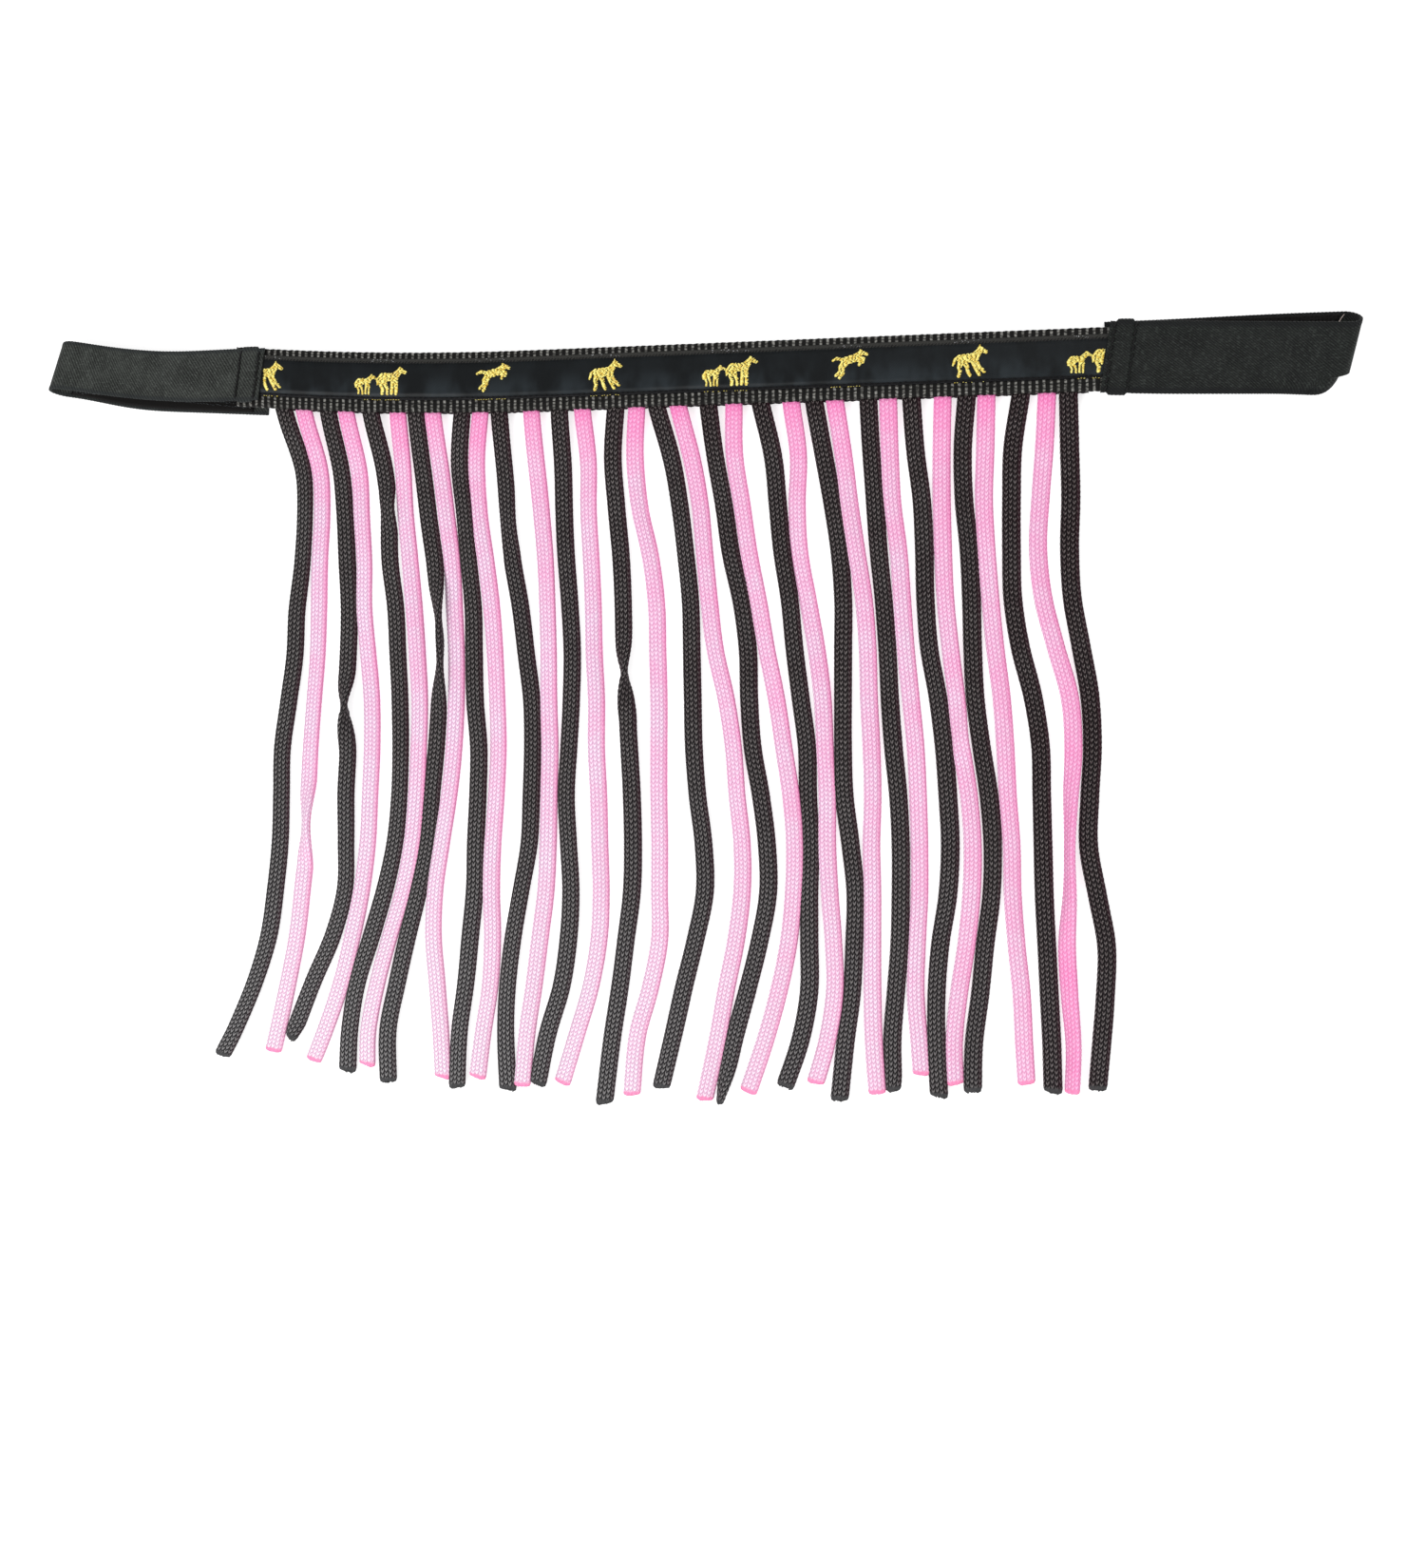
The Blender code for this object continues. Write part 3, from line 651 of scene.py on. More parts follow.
def cord_points(pink, path, lean, at, braid, random):
    """The cord's points, and how far each lies to the right of its middle, by its half width."""
    sx, sy, nx, ny = cord_section()[:4]
    rings, sides = braid.shape
    left = at[-1] - at
    sealed = 1 - smooth(left / (1.6 * MM))
    inside = smooth((at - 3 * MM) / (6 * MM))
    wide = ((1.01 if pink else 1.04) + 0.02 * wander(random, rings, 60)) * (1 - 0.10 * sealed)
    close = np.sqrt(np.clip(1 - ((0.5 * MM - left) / (0.9 * MM)).clip(0) ** 2 * 2.2, 0.2, 1))
    thick = (0.70 + 0.30 * inside) * (1 - 0.12 * sealed)
    rise = BRAID_RISE * (0.3 + 0.7 * inside) * (1 - 0.6 * sealed)
    raised = braid * (1 - 0.6 * np.abs(nx) ** 1.5) * rise[:, None]
    a = sx * (wide * close)[:, None] + nx * raised
    b = sy * (thick * close)[:, None] + ny * raised
    cut = random.uniform(-0.22, 0.22)
    skew = cut * sx[None, :] * smooth((6 * MM - left) / (6 * MM))[:, None]
    ragged = random.normal(0, (0.12 if pink else 0.38) * MM, sides)
    skew = skew + ragged[None, :] * smooth((1.2 * MM - left) / (1.2 * MM))[:, None]
    fuzz = random.normal(0, 0.025 * MM, (rings, sides))
    tangent, axis_a, axis_b = (axis[:, None] for axis in cord_axes(path, lean))
    points = path[:, None] + axis_a * (a + fuzz * nx)[..., None] + axis_b * (b + fuzz * ny)[..., None]
    points = points + tangent * skew[..., None]
    points[..., 2] = np.maximum(points[..., 2], FLOOR_GAP)
    return points, a / (CORD_WIDTH / 2) * np.cos(lean)[:, None] - 0.4 * np.sin(lean)[:, None] * np.sign(b)


def make_cord(number, route, look):
    """One braided cord, from inside the band to its heat-sealed end."""
    pink = number % 2 == 0
    random = np.random.default_rng(100 + number)
    path, lean, at, drop = cord_path(number, route)
    phase, braid = cord_stitches(PINK_PITCH if pink else BLACK_PITCH, at, random)
    points, side = cord_points(pink, path, lean, at, braid, random)
    cord = tube_mesh(f"cord_{number:02d}_braided", points, look)
    end = (1 - smooth((at[-1] - at - 1.3 * MM) / (0.9 * MM))) * 0.92
    for name, values in (("braid", braid), ("strand", phase), ("side", side), ("painted_light", cord_painted_light(path, drop)),
                         ("shade", cord_shade(number, pink, path, drop, random)), ("end", end)):
        give(cord, name, values if values.ndim == 2 else np.repeat(values, braid.shape[1]))
    places = np.arange(braid.shape[1]) / braid.shape[1]
    give_uv(cord, places * cord_section()[5], at[:, None] + number * 0.5)

    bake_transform(cord)
    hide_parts(f"cord_{number:02d}")


def make_cords():
    # groove and dark are the grooves' painted shade, edge the painted shade along the right side, hot the
    # deepest colour of painted shade and tone, lifted the painted glints, and lit_colours_and_end the strands
    # and grooves under painted light low down, then the cut end.
    pink = cord_look("pink_braid", groove=(0.88, 0.20, 0.48), dark=(0.68, 0.39, 0.59),
                     light=(1.0, 0.79, 0.93), edge=(0.98, 0.22, 0.53), hot=(1.0, 0.30, 0.63),
                     sheen=0.08, specular=0.25, lifted=(1.0, 0.93, 0.98, 0.8),
                     lit_colours_and_end=((1.0, 0.90, 0.965), (0.70, 0.43, 0.60), (0.98, 0.26, 0.50)))
    black = cord_look("black_braid", groove=(0.0012, 0.0004, 0.0006), dark=(0.0016, 0.0014, 0.0015),
                      light=(0.105, 0.098, 0.099), edge=(0.030, 0.004, 0.012), hot=(0.033, 0.019, 0.021),
                      sheen=0.0, specular=0.15, lifted=(0.42, 0.39, 0.375, 0.95),
                      lit_colours_and_end=((0.22, 0.215, 0.22), (0.0035, 0.003, 0.0035), (0.055, 0.055, 0.057)))
    for number, route in enumerate(ROUTES, 1):
        make_cord(number, route, pink if number % 2 == 0 else black)


# ---- band


RIB_PITCH = 2.8 * MM
RIB_RISE = 0.42 * MM


def band_tube(name, half, middle_y, middle_z, strip, step, relief, look):
    """A strip along the bent band, from its section. relief(x, a, b) is how far each point is pushed out."""
    xs = np.arange(-half, half + step / 2, step)
    sa, sb, na, nb, at = strip
    x, a = np.meshgrid(xs, sa, indexing="ij")
    b = np.broadcast_to(sb, a.shape)
    out = relief(x, a, b)
    close = np.clip((half - np.abs(x)) / (0.8 * MM), 0, 1) ** 0.5
    y = bend(x) + middle_y + a + na * out
    z = middle_z + (b + nb * out) * (0.4 + 0.6 * close)
    made = tube_mesh(name, np.stack([x + BAND_X, y + BAND_Y, z], -1), look)
    give_uv(made, at, x)
    give(made, "across", a)
    return made


def ribs(x, a, b):
    """Rounded bars across the band, with narrow grooves between them and small breaks along each bar."""
    wobble = 0.12 * np.sin(x / (9.1 * MM)) + 0.08 * np.sin(x / (3.3 * MM) + 2)
    bar = np.abs(np.cos(math.pi * (x / RIB_PITCH + wobble * 0.15))) ** 0.55
    breaks = 0.85 + 0.15 * np.cos(2 * math.pi * a / (1.9 * MM) + np.floor(x / RIB_PITCH) * 2.1)
    return RIB_RISE * bar * breaks - 0.1 * MM


def webbing_look(name, bar_colour, glint_colour, rough):
    """Ribbed nylon webbing: dark bars, with thin broken painted highlights on the threads in the grooves
    between them.
    """
    look = Look(name, roughness=rough, specular=0.16)
    u, v = look.places()
    drift = look.noise(260, detail=2)
    phase = look.times(look.plus(v, look.times(drift, 0.0004)), 2 * math.pi / RIB_PITCH)
    groove = look.ramp(look.times(look.math("COSINE", phase), -1.0), 0.0, 0.85)
    beat = look.plus(look.times(u, 2 * math.pi / (1.55 * MM)), look.times(drift, 14))
    # Painted highlights: broken lines along the grooves, patchy along the band.
    glint = look.times(groove, look.ramp(look.math("SINE", beat), -0.9, 0.5, 0.25, 1.0))
    glint = look.times(glint, look.ramp(look.noise(420), 0.32, 0.66, 0.25, 1.0))
    fibres = look.noise(3800, (0.25, 1, 1), 2)
    bars = look.mix(look.ramp(fibres, 0.45, 0.8), bar_colour, lighter(bar_colour, 3.0))
    look.colour(look.mix(glint, bars, glint_colour))
    yarn = look.wave(v, RIB_PITCH / 5)
    look.bump(look.plus(look.times(yarn, 0.35), fibres), 0.00008, 0.7)
    look.rough(look.math("SUBTRACT", rough + 0.1, look.times(glint, 0.35)))
    return look.material


def make_webbing():
    """The webbing, its backing, and the tape between them that holds the cords' ends."""
    # Each webbing's second colour is its painted highlight.
    look = webbing_look("ribbed_webbing", (0.0026, 0.0024, 0.002), (0.27, 0.265, 0.245), 0.5)
    strip = flat_section(BAND_WIDTH - 0.3 * MM, 1.2 * MM, 92, 9)
    middle = WEB_HIGH.z - 0.85 * MM
    webbing = band_tube("webbing_ribbed", BAND_HALF, 0, middle, strip, RIB_PITCH / 7, ribs, look)
    hand_over(webbing, "band", "black_ribbed_webbing", "browband_webbing")

    look = webbing_look("lining_webbing", (0.010, 0.009, 0.009), (0.10, 0.10, 0.10), 0.6)
    strip = flat_section(BAND_WIDTH - 0.5 * MM, 0.9 * MM, 92, 9)
    half, middle = (BACK_HIGH.x - BACK_LOW.x) / 2, (BACK_LOW.z + BACK_HIGH.z) / 2
    backing = band_tube("backing_ribbed", half, 0, middle, strip, RIB_PITCH / 7, ribs, look)
    hand_over(backing, "band", "black_lining_webbing", "backing_webbing")

    look = webbing_look("fringe_tape_weave", (0.012, 0.011, 0.011), (0.05, 0.05, 0.05), 0.75)
    strip = flat_section(11.6 * MM, 1.2 * MM, 48, 9)
    tape = band_tube("fringe_tape_woven", BAND_HALF - 1 * MM, 2.2 * MM, HINGE_HEIGHT, strip, 1.4 * MM,
                     lambda x, a, b: 0 * x, look)
    hand_over(tape, "band", "black_fringe_tape", "fringe_tape")


# ---- ribbon

SATIN_TOP = 7.8 * MM
SATIN_BOTTOM = -6.4 * MM
RIBBON_HALF = 180.5 * MM
RIBBON_MIDDLE = (RIBBON_TOP + RIBBON_BOTTOM) / 2
SEAM_HALF = 177 * MM


def ribbon_relief(x, a, b):
    """The satin swells between its border and its lower seam, and puckers along its stitches."""
    y = a + RIBBON_MIDDLE
    inside = smooth((y - SATIN_BOTTOM) / (1.6 * MM)) * smooth((SATIN_TOP - y) / (1.6 * MM))
    upper = np.exp(-((y - SATIN_TOP) / (1.3 * MM)) ** 2)
    lower = np.exp(-((y - SATIN_BOTTOM) / (1.3 * MM)) ** 2)
    pucker = np.sin(x / (1.9 * MM) + 0.6 * np.sin(x / (7 * MM))) * upper + np.sin(x / (2.3 * MM) + 1) * lower
    wave = 0.5 + 0.5 * np.sin(x / (31 * MM) + 0.8 * np.sin(x / (13 * MM)))
    return np.where(b > 0, (0.34 + 0.16 * wave) * MM * inside + 0.06 * MM * pucker, 0)


def satin_look():
    """Black satin: a fine diagonal twill, a painted bluer sheen in patches, strongest over its lower half,
    and a dull woven border.
    """
    look = Look("satin_ribbon", roughness=0.45, specular=0.14)
    u, v = look.places()
    across = look.number("across")
    lines = look.wave(look.plus(u, v), 0.62 * MM)
    hatch = look.ramp(lines, -0.6, 0.8)
    patches = look.noise(60, (0.6, 1, 1))
    lower = look.ramp(across, 3 * MM, -6 * MM)
    # Painted sheen: lighter, bluer patches, strongest over the lower half.
    sheen = look.times(look.ramp(patches, 0.36, 0.62), look.plus(lower, 0.25))
    sheen = look.plus(look.times(sheen, 0.75), 0.12)
    deep = look.mix(hatch, (0.0018, 0.0022, 0.0025), (0.004, 0.005, 0.0055))
    painted_sheen_colour = look.mix(hatch, (0.010, 0.0135, 0.016), (0.026, 0.033, 0.038))
    satin = look.mix(sheen, deep, painted_sheen_colour)
    weave = look.times(look.wave(u, 0.5 * MM), look.wave(v, 0.75 * MM))
    border = look.mix(look.ramp(weave, -0.3, 0.7), (0.013, 0.013, 0.012), (0.066, 0.065, 0.060))
    top, bottom = SATIN_TOP - RIBBON_MIDDLE, SATIN_BOTTOM - RIBBON_MIDDLE
    in_border = look.ramp(across, top - 0.15 * MM, top + 0.25 * MM)
    in_seam = look.ramp(across, bottom + 0.1 * MM, bottom - 0.3 * MM)
    colour = look.mix(in_border, satin, border)
    look.colour(look.mix(in_seam, colour, (0.0035, 0.0035, 0.0045)))
    look.bump(look.plus(look.times(lines, 0.5), look.times(weave, in_border)), 0.00005, 0.5)
    look.rough(look.plus(0.38, look.times(in_border, 0.35)))
    return look.material


def thread_look(name, dark, light, roughness, metallic=0.0):
    """Sewing thread: twisted, slightly shiny, and uneven in tone."""
    look = Look(name, roughness=roughness, specular=0.2, metallic=metallic)
    grain = look.noise(2200, detail=2)
    look.colour(look.mix(look.ramp(grain, 0.35, 0.65), dark, light))
    look.bump(grain, 0.00005, 0.6)
    return look.material


def on_band(points):
    """From places along the straightened band, in metres, to the world."""
    points = np.asarray(points, float)
    lifted = points.copy()
    lifted[:, 0] += BAND_X
    lifted[:, 1] += BAND_Y + bend(points[:, 0])
    return lifted


def stitch(x, y, dx, dy, z, arch, steps=5):
    """A short stitch on the band, from (x, y) by (dx, dy), its ends sunk and its middle raised."""
    t = np.linspace(0, 1, steps)
    return on_band(np.stack([x + dx * t, y + dy * t, z + arch * (4 * t * (1 - t) - 0.5)], 1))


def ribbon_seam(y, pitch, slant):
    """One uneven row of slanted stitches along the ribbon."""
    paths = []
    for x in np.arange(-SEAM_HALF, SEAM_HALF, pitch):
        dx, dy = pitch * 0.42, slant * RANDOM.uniform(0.6, 1.2)
        y_here = y + RANDOM.normal(0, 0.06 * MM)
        paths.append(stitch(x - dx, y_here - dy, 2 * dx, 2 * dy, RIBBON_FACE + 0.16 * MM, 0.2 * MM))
    return paths


def fringe_seam():
    """The row of stitches through the band's lower edge, which holds the cords."""
    paths = []
    for x in np.arange(-176 * MM, 176 * MM, RIB_PITCH):
        y = -BAND_WIDTH / 2 + 3.3 * MM + RANDOM.normal(0, 0.1 * MM)
        paths.append(stitch(x - 1.2 * MM, y, 2.4 * MM, 0, WEB_HIGH.z + 0.12 * MM, 0.16 * MM))
    return paths


def make_ribbon():
    strip = flat_section(RIBBON_TOP - RIBBON_BOTTOM, 0.5 * MM, 76, 10)
    ribbon = band_tube("ribbon_satin", RIBBON_HALF, RIBBON_MIDDLE, RIBBON_FACE - 0.25 * MM, strip, 0.6 * MM,
                       ribbon_relief, satin_look())
    hand_over(ribbon, "band", "black_satin_ribbon", "jacquard_ribbon")

    thread = thread_look("black_thread_look", (0.0015, 0.0015, 0.0015), (0.006, 0.006, 0.0065), 0.6)
    upper = ribbon_seam(SATIN_TOP + 0.25 * MM, 1.35 * MM, 0.55 * MM)
    lower = ribbon_seam(SATIN_BOTTOM - 0.45 * MM, 2.3 * MM, 0.25 * MM)
    for name, node, paths, radius in (("ribbon_upper_stitches", "ribbon_upper_stitching", upper, 0.17 * MM),
                                      ("ribbon_lower_stitches", "ribbon_lower_stitching", lower, 0.22 * MM),
                                      ("fringe_stitches", "fringe_stitching", fringe_seam(), 0.17 * MM)):
        hand_over(many_tubes(name, paths, radius, 7, thread), "band", "black_thread", node)


# ---- woven horses

# Tapered limbs: x, y and radius at one end, then at the other, in tenths of a horse's height, from the corner
# below its tail.
TROT = (
    (3.0, 5.9, 1.25, 6.3, 6.1, 1.15), (6.3, 6.4, 1.05, 7.9, 8.5, 0.7), (7.9, 8.8, 0.72, 9.5, 7.8, 0.42),
    (7.7, 9.0, 0.3, 7.8, 9.9, 0.14), (2.1, 6.5, 0.5, 0.9, 5.6, 0.38), (0.9, 5.6, 0.38, 0.3, 3.9, 0.2),
    (2.7, 5.4, 0.9, 2.0, 3.2, 0.5), (2.0, 3.2, 0.48, 2.3, 1.7, 0.4), (2.3, 1.7, 0.4, 1.9, 0.3, 0.42),
    (3.4, 5.2, 0.8, 4.2, 3.2, 0.5), (4.2, 3.2, 0.48, 4.4, 1.8, 0.4), (4.4, 1.8, 0.4, 5.0, 0.5, 0.42),
    (6.3, 5.4, 0.75, 7.4, 3.3, 0.48), (7.4, 3.3, 0.46, 8.9, 1.6, 0.42),
    (5.9, 5.2, 0.7, 6.4, 3.1, 0.46), (6.4, 3.1, 0.44, 7.6, 0.6, 0.42),
)
STAND = (
    (2.6, 6.2, 1.3, 6.2, 6.3, 1.2), (6.2, 6.6, 1.1, 8.0, 8.7, 0.72), (8.0, 8.9, 0.72, 9.5, 8.0, 0.45),
    (7.8, 9.1, 0.3, 7.9, 9.9, 0.14), (1.7, 6.4, 0.45, 0.8, 5.2, 0.36), (0.8, 5.2, 0.36, 0.8, 3.6, 0.2),
    (2.3, 5.6, 0.9, 1.9, 3.2, 0.5), (1.9, 3.2, 0.48, 2.4, 1.8, 0.4), (2.4, 1.8, 0.4, 2.2, 0.3, 0.42),
    (2.9, 5.6, 0.8, 3.4, 3.2, 0.5), (3.4, 3.2, 0.46, 3.9, 1.8, 0.4), (3.9, 1.8, 0.4, 3.9, 0.3, 0.42),
    (6.4, 5.8, 0.75, 6.7, 3.2, 0.46), (6.7, 3.2, 0.44, 6.6, 0.3, 0.42),
    (5.8, 5.6, 0.7, 5.4, 3.2, 0.46), (5.4, 3.2, 0.44, 5.2, 0.4, 0.42),
)
LEAP = (
    (3.9, 6.5, 1.05, 6.9, 7.5, 1.0), (7.0, 7.8, 0.85, 8.5, 9.0, 0.58), (8.5, 9.2, 0.6, 10.1, 8.6, 0.36),
    (8.3, 9.4, 0.28, 8.2, 10.1, 0.12), (3.1, 7.1, 0.4, 1.7, 7.5, 0.34), (1.7, 7.5, 0.34, 0.4, 6.8, 0.18),
    (3.7, 6.1, 0.75, 2.5, 4.7, 0.42), (2.5, 4.7, 0.4, 2.5, 3.2, 0.34), (2.5, 3.2, 0.34, 1.3, 1.9, 0.34),
    (4.2, 6.0, 0.7, 3.3, 4.3, 0.42), (3.3, 4.3, 0.4, 3.4, 2.7, 0.34), (3.4, 2.7, 0.34, 2.3, 1.2, 0.34),
    (7.1, 7.0, 0.6, 8.5, 6.4, 0.38), (8.5, 6.4, 0.36, 7.9, 5.2, 0.32),
    (7.3, 7.3, 0.55, 9.2, 7.2, 0.36), (9.2, 7.2, 0.34, 8.9, 5.9, 0.3),
)
FOAL = 0.66  # a foal's height, of its mother's
MOTIF_HEIGHT = 13 * MM
MOTIF_FOOT = -5.5 * MM
PICK = 0.33 * MM  # between neighbouring gold threads
GRAIN = 0.055  # mm between the places tried along a gold thread
SHORTEST_THREAD = 0.35  # mm
THREAD_SLOPE = 0.112  # of the gold threads across a horse
LIMB_SPREAD = 0.17  # how much fuller than its line each limb is woven, in tenths of the height
# What each repeat shows, and where its middle is along the band, in mm. The last two run under the straps.
MOTIFS = (
    ("pair", -126), ("leap", -76.7), ("trot", -28), ("pair", 24), ("leap", 73.3), ("trot", 122),
    ("trot", -176.5), ("pair", 171.5),
)
MOTIF_ENDS = (-177.3 * MM, 175.0 * MM)  # where the straps start to cover the ribbon
CAD_MOTIFS = 6  # the groups that have a CAD node of their own


def inside_limbs(limbs, x, y):
    """True where the points (x, y) are in one of the tapered limbs."""
    found = np.zeros(np.shape(x), bool)
    for x0, y0, r0, x1, y1, r1 in limbs:
        dx, dy = x1 - x0, y1 - y0
        t = np.clip(((x - x0) * dx + (y - y0) * dy) / (dx * dx + dy * dy), 0, 1)
        found |= np.hypot(x - x0 - t * dx, y - y0 - t * dy) < (r0 + (r1 - r0) * t) * 1.06 + LIMB_SPREAD
    return found


def horse_threads(limbs, left, size, stretch=1.15):
    """Gold threads side by side across a horse's outline, each dipping under the satin at its ends."""
    scale = size / 10
    paths = []
    for row in np.arange(-0.3, 10.6, PICK / scale):
        x = np.arange(-3.2, 11, GRAIN / scale * MM)
        y = row + THREAD_SLOPE * (x - 5)
        hit = inside_limbs(limbs, x, y)
        edges = np.flatnonzero(np.diff(np.concatenate([[0], hit.astype(int), [0]])))
        for a, b in zip(edges[::2], edges[1::2]):
            if (b - a) * GRAIN < SHORTEST_THREAD:
                continue
            while a < b:
                cut = min(b, a + int(RANDOM.uniform(1.0, 1.9) / GRAIN))
                if b - cut < 6:
                    cut = b
                px, py = x[a:cut:5], y[a:cut:5]
                if len(px) > 2:
                    t = np.linspace(0, 1, len(px))
                    z = RIBBON_FACE + 0.42 * MM + 0.17 * MM * np.sqrt(np.clip(4 * t * (1 - t), 0, 1))
                    z += RANDOM.normal(0, 0.025 * MM)
                    paths.append(np.stack([left + px * scale * stretch, MOTIF_FOOT + py * scale, z], 1))
                a = cut
    return paths


def motif_threads(kind, middle):
    """The threads of one group of horses, cut off where the straps cover the ribbon."""
    if kind == "pair":
        paths = horse_threads(STAND, middle - 1.0 * MM, MOTIF_HEIGHT * 0.9, stretch=1.2)
        paths += horse_threads(STAND, middle - 10.6 * MM, MOTIF_HEIGHT * FOAL, stretch=1.2)
    else:
        paths = horse_threads(TROT if kind == "trot" else LEAP, middle - 6.1 * MM, MOTIF_HEIGHT * 0.96)
    left, right = MOTIF_ENDS
    paths = [p[(p[:, 0] > left) & (p[:, 0] < right + 0.17 * (p[:, 1] - MOTIF_FOOT))] for p in paths]
    return [on_band(p) for p in paths if len(p) > 2]


def uncovered(x):
    """True where no strap covers the ribbon."""
    return MOTIF_ENDS[0] < x < MOTIF_ENDS[1] - 1 * MM


def border_flecks(middle, wide, count):
    """Short silver threads in the border above a group of horses."""
    paths = []
    for _ in range(count):
        x = middle + RANDOM.uniform(-wide, wide)
        y = SATIN_TOP + RANDOM.choice([0.75, 1.35]) * MM + RANDOM.normal(0, 0.1 * MM)
        if uncovered(x):
            paths.append(stitch(x, y, RANDOM.uniform(0.25, 0.5) * MM, 0, RIBBON_FACE + 0.1 * MM, 0.1 * MM, 4))
    return paths


def edge_dashes(middle, wide):
    """Gold threads that show along the ribbon's lower edge, under a group of horses."""
    paths = []
    for x in np.arange(middle - wide, middle + wide, 1.15 * MM):
        if RANDOM.uniform() < 0.7 and uncovered(x):
            y = RIBBON_BOTTOM + 0.05 * MM + RANDOM.normal(0, 0.07 * MM)
            length = RANDOM.uniform(0.4, 0.9) * MM
            paths.append(stitch(x, y, length, 0, RIBBON_FACE + 0.02 * MM, 0.16 * MM, 4))
    return paths


def gold_look():
    """Flat metallic thread: pale gold that flashes lighter and browner from thread to thread."""
    look = Look("gold_thread_look", roughness=0.34, specular=0.5, metallic=0.35)
    grain = look.noise(900, detail=4)
    broad = look.noise(170, detail=2)
    tone = look.mix(look.ramp(grain, 0.34, 0.62), (0.74, 0.50, 0.045), (1.0, 0.92, 0.30))
    look.colour(look.mix(look.ramp(broad, 0.55, 0.75, 0.0, 0.55), tone, (0.70, 0.44, 0.12)))
    look.bump(look.noise(2600, detail=2), 0.00006, 0.7)
    look.rough(look.ramp(grain, 0.3, 0.7, 0.5, 0.26))
    return look.material


def make_motifs():
    """The horses, and the silver and gold flecks over and under them."""
    gold = gold_look()
    silver = thread_look("silver_fleck_look", (0.35, 0.35, 0.36), (0.85, 0.85, 0.88), 0.25, 0.7)
    flecks, dashes = [], []
    for i, (kind, middle) in enumerate(MOTIFS, 1):
        paths = motif_threads(kind, middle * MM)
        horses = many_tubes(f"woven_horses_{i}", paths, 0.215 * MM, 6, gold, flat=0.75)
        hand_over(horses, "band", "gold_thread", *([f"ribbon_motif_{i}"] if i <= CAD_MOTIFS else []))
        wide, count = (9.5 * MM, 13) if kind == "pair" else (6.5 * MM, 8)
        flecks += border_flecks(middle * MM, wide, count)
        dashes += edge_dashes(middle * MM, wide)
    hand_over(many_tubes("silver_flecks", flecks, 0.13 * MM, 6, silver), "band", "gold_thread")
    hand_over(many_tubes("gold_dashes", dashes, 0.12 * MM, 6, gold), "band", "gold_thread")


# ---- straps

STRAP_STEP = 0.5 * MM
HEM_START = 2.0 * MM
HEM_END = 10.2 * MM
HEM_RISE = 0.55 * MM
SEAM_DEPTH = 0.22 * MM
HEM_WIDENING = 1.3 * MM  # of the left strap's upper half, where it is sewn on
STRAP_SKEW = {"left": 0.06, "right": 0.095}  # the slant of the sewn end, by the width
HOOK_SPAN = (5 * MM, 93 * MM)
LOOP_SPAN = (20 * MM, 86 * MM)
PILE_COUNT = 900  # loops of the loop tape
FLAP_FACE = STRAP_THICK + 0.05 * MM  # height of the flap's inner face


def strap_place(loop, u, w, z, part):
    """World places of strap points: u outwards, w across, z up. part is 0 in front and 1 in the flap."""
    (x, y), side, strap_turn, flap_turn, shift = loop
    turn = math.radians(strap_turn) + (math.pi if side < 0 else 0)
    swing = math.radians(flap_turn - strap_turn) * part
    from_hinge = u - HINGE_REACH
    u2 = HINGE_REACH + from_hinge * np.cos(swing) - w * np.sin(swing)
    w2 = from_hinge * np.sin(swing) + w * np.cos(swing)
    px = BAND_X + x * MM + u2 * math.cos(turn) - w2 * math.sin(turn)
    py = BAND_Y + y * MM + u2 * math.sin(turn) + w2 * math.cos(turn) + shift * MM * part
    return np.stack(np.broadcast_arrays(px, py, z), -1)


def strap_side_path(flap_end):
    """The strap's middle line in side view, equally spaced, and each point's share of the flap's frame."""
    top = FOLD_HEIGHT + FOLD_RADIUS
    u1 = np.linspace(0, FOLD_CENTRE, 260)
    z1 = STRAP_LIE + (top - STRAP_LIE) * smooth((u1 - LAP) / (FOLD_CENTRE - LAP) * 0.94)
    angle = np.radians(np.linspace(90, -90, 90))[1:-1]
    u2 = FOLD_CENTRE + FOLD_RADIUS * np.cos(angle)
    z2 = FOLD_HEIGHT + FOLD_RADIUS * np.sin(angle)
    u3 = np.linspace(FOLD_CENTRE, flap_end, 240)
    z3 = np.full_like(u3, STRAP_THICK / 2)
    u, z = np.concatenate([u1, u2, u3]), np.concatenate([z1, z2, z3])
    part = np.concatenate([0 * u1, smooth((math.pi / 2 - angle) / math.pi), 0 * u3 + 1])
    run = np.concatenate([[0], np.cumsum(np.hypot(np.diff(u), np.diff(z)))])
    at = np.linspace(0, run[-1], int(run[-1] / STRAP_STEP))
    return np.interp(at, run, u), np.interp(at, run, z), np.interp(at, run, part), at


def fold_shear(side_name, u, w):
    """How far out a point moves, because the fold isn't square to the strap."""
    near = smooth((u - 46 * MM) / (47 * MM))
    pull = near * FOLD_PULL[side_name]
    if side_name == "left":
        return pull + near * 3.0 * MM * w / (12.5 * MM)
    slant = pull + near * 2.6 * MM * (w - 6 * MM) / (12.5 * MM)
    low = np.clip((-w - 7 * MM) / (7.5 * MM), 0, 1)
    notch = smooth((u - 85 * MM) / (8 * MM)) * smooth((-w - 7.4 * MM) / (0.9 * MM))
    return slant - 3.6 * MM * notch - near * 3.4 * MM * low**2.4


def strap_bow(side_name, u, part):
    """How far the strap curves sideways: down in the middle, or down towards the fold."""
    if side_name == "left":
        middle = np.sin(math.pi * np.clip(u / (93 * MM), 0, 1))
        return 2.4 * MM * middle * (1 - part) + (2.6 * middle**3 + 0.5 * np.sin(u / (9 * MM))) * MM * part
    return -0.3 * MM * smooth((u - 30 * MM) / (62 * MM)) * (1 - part)


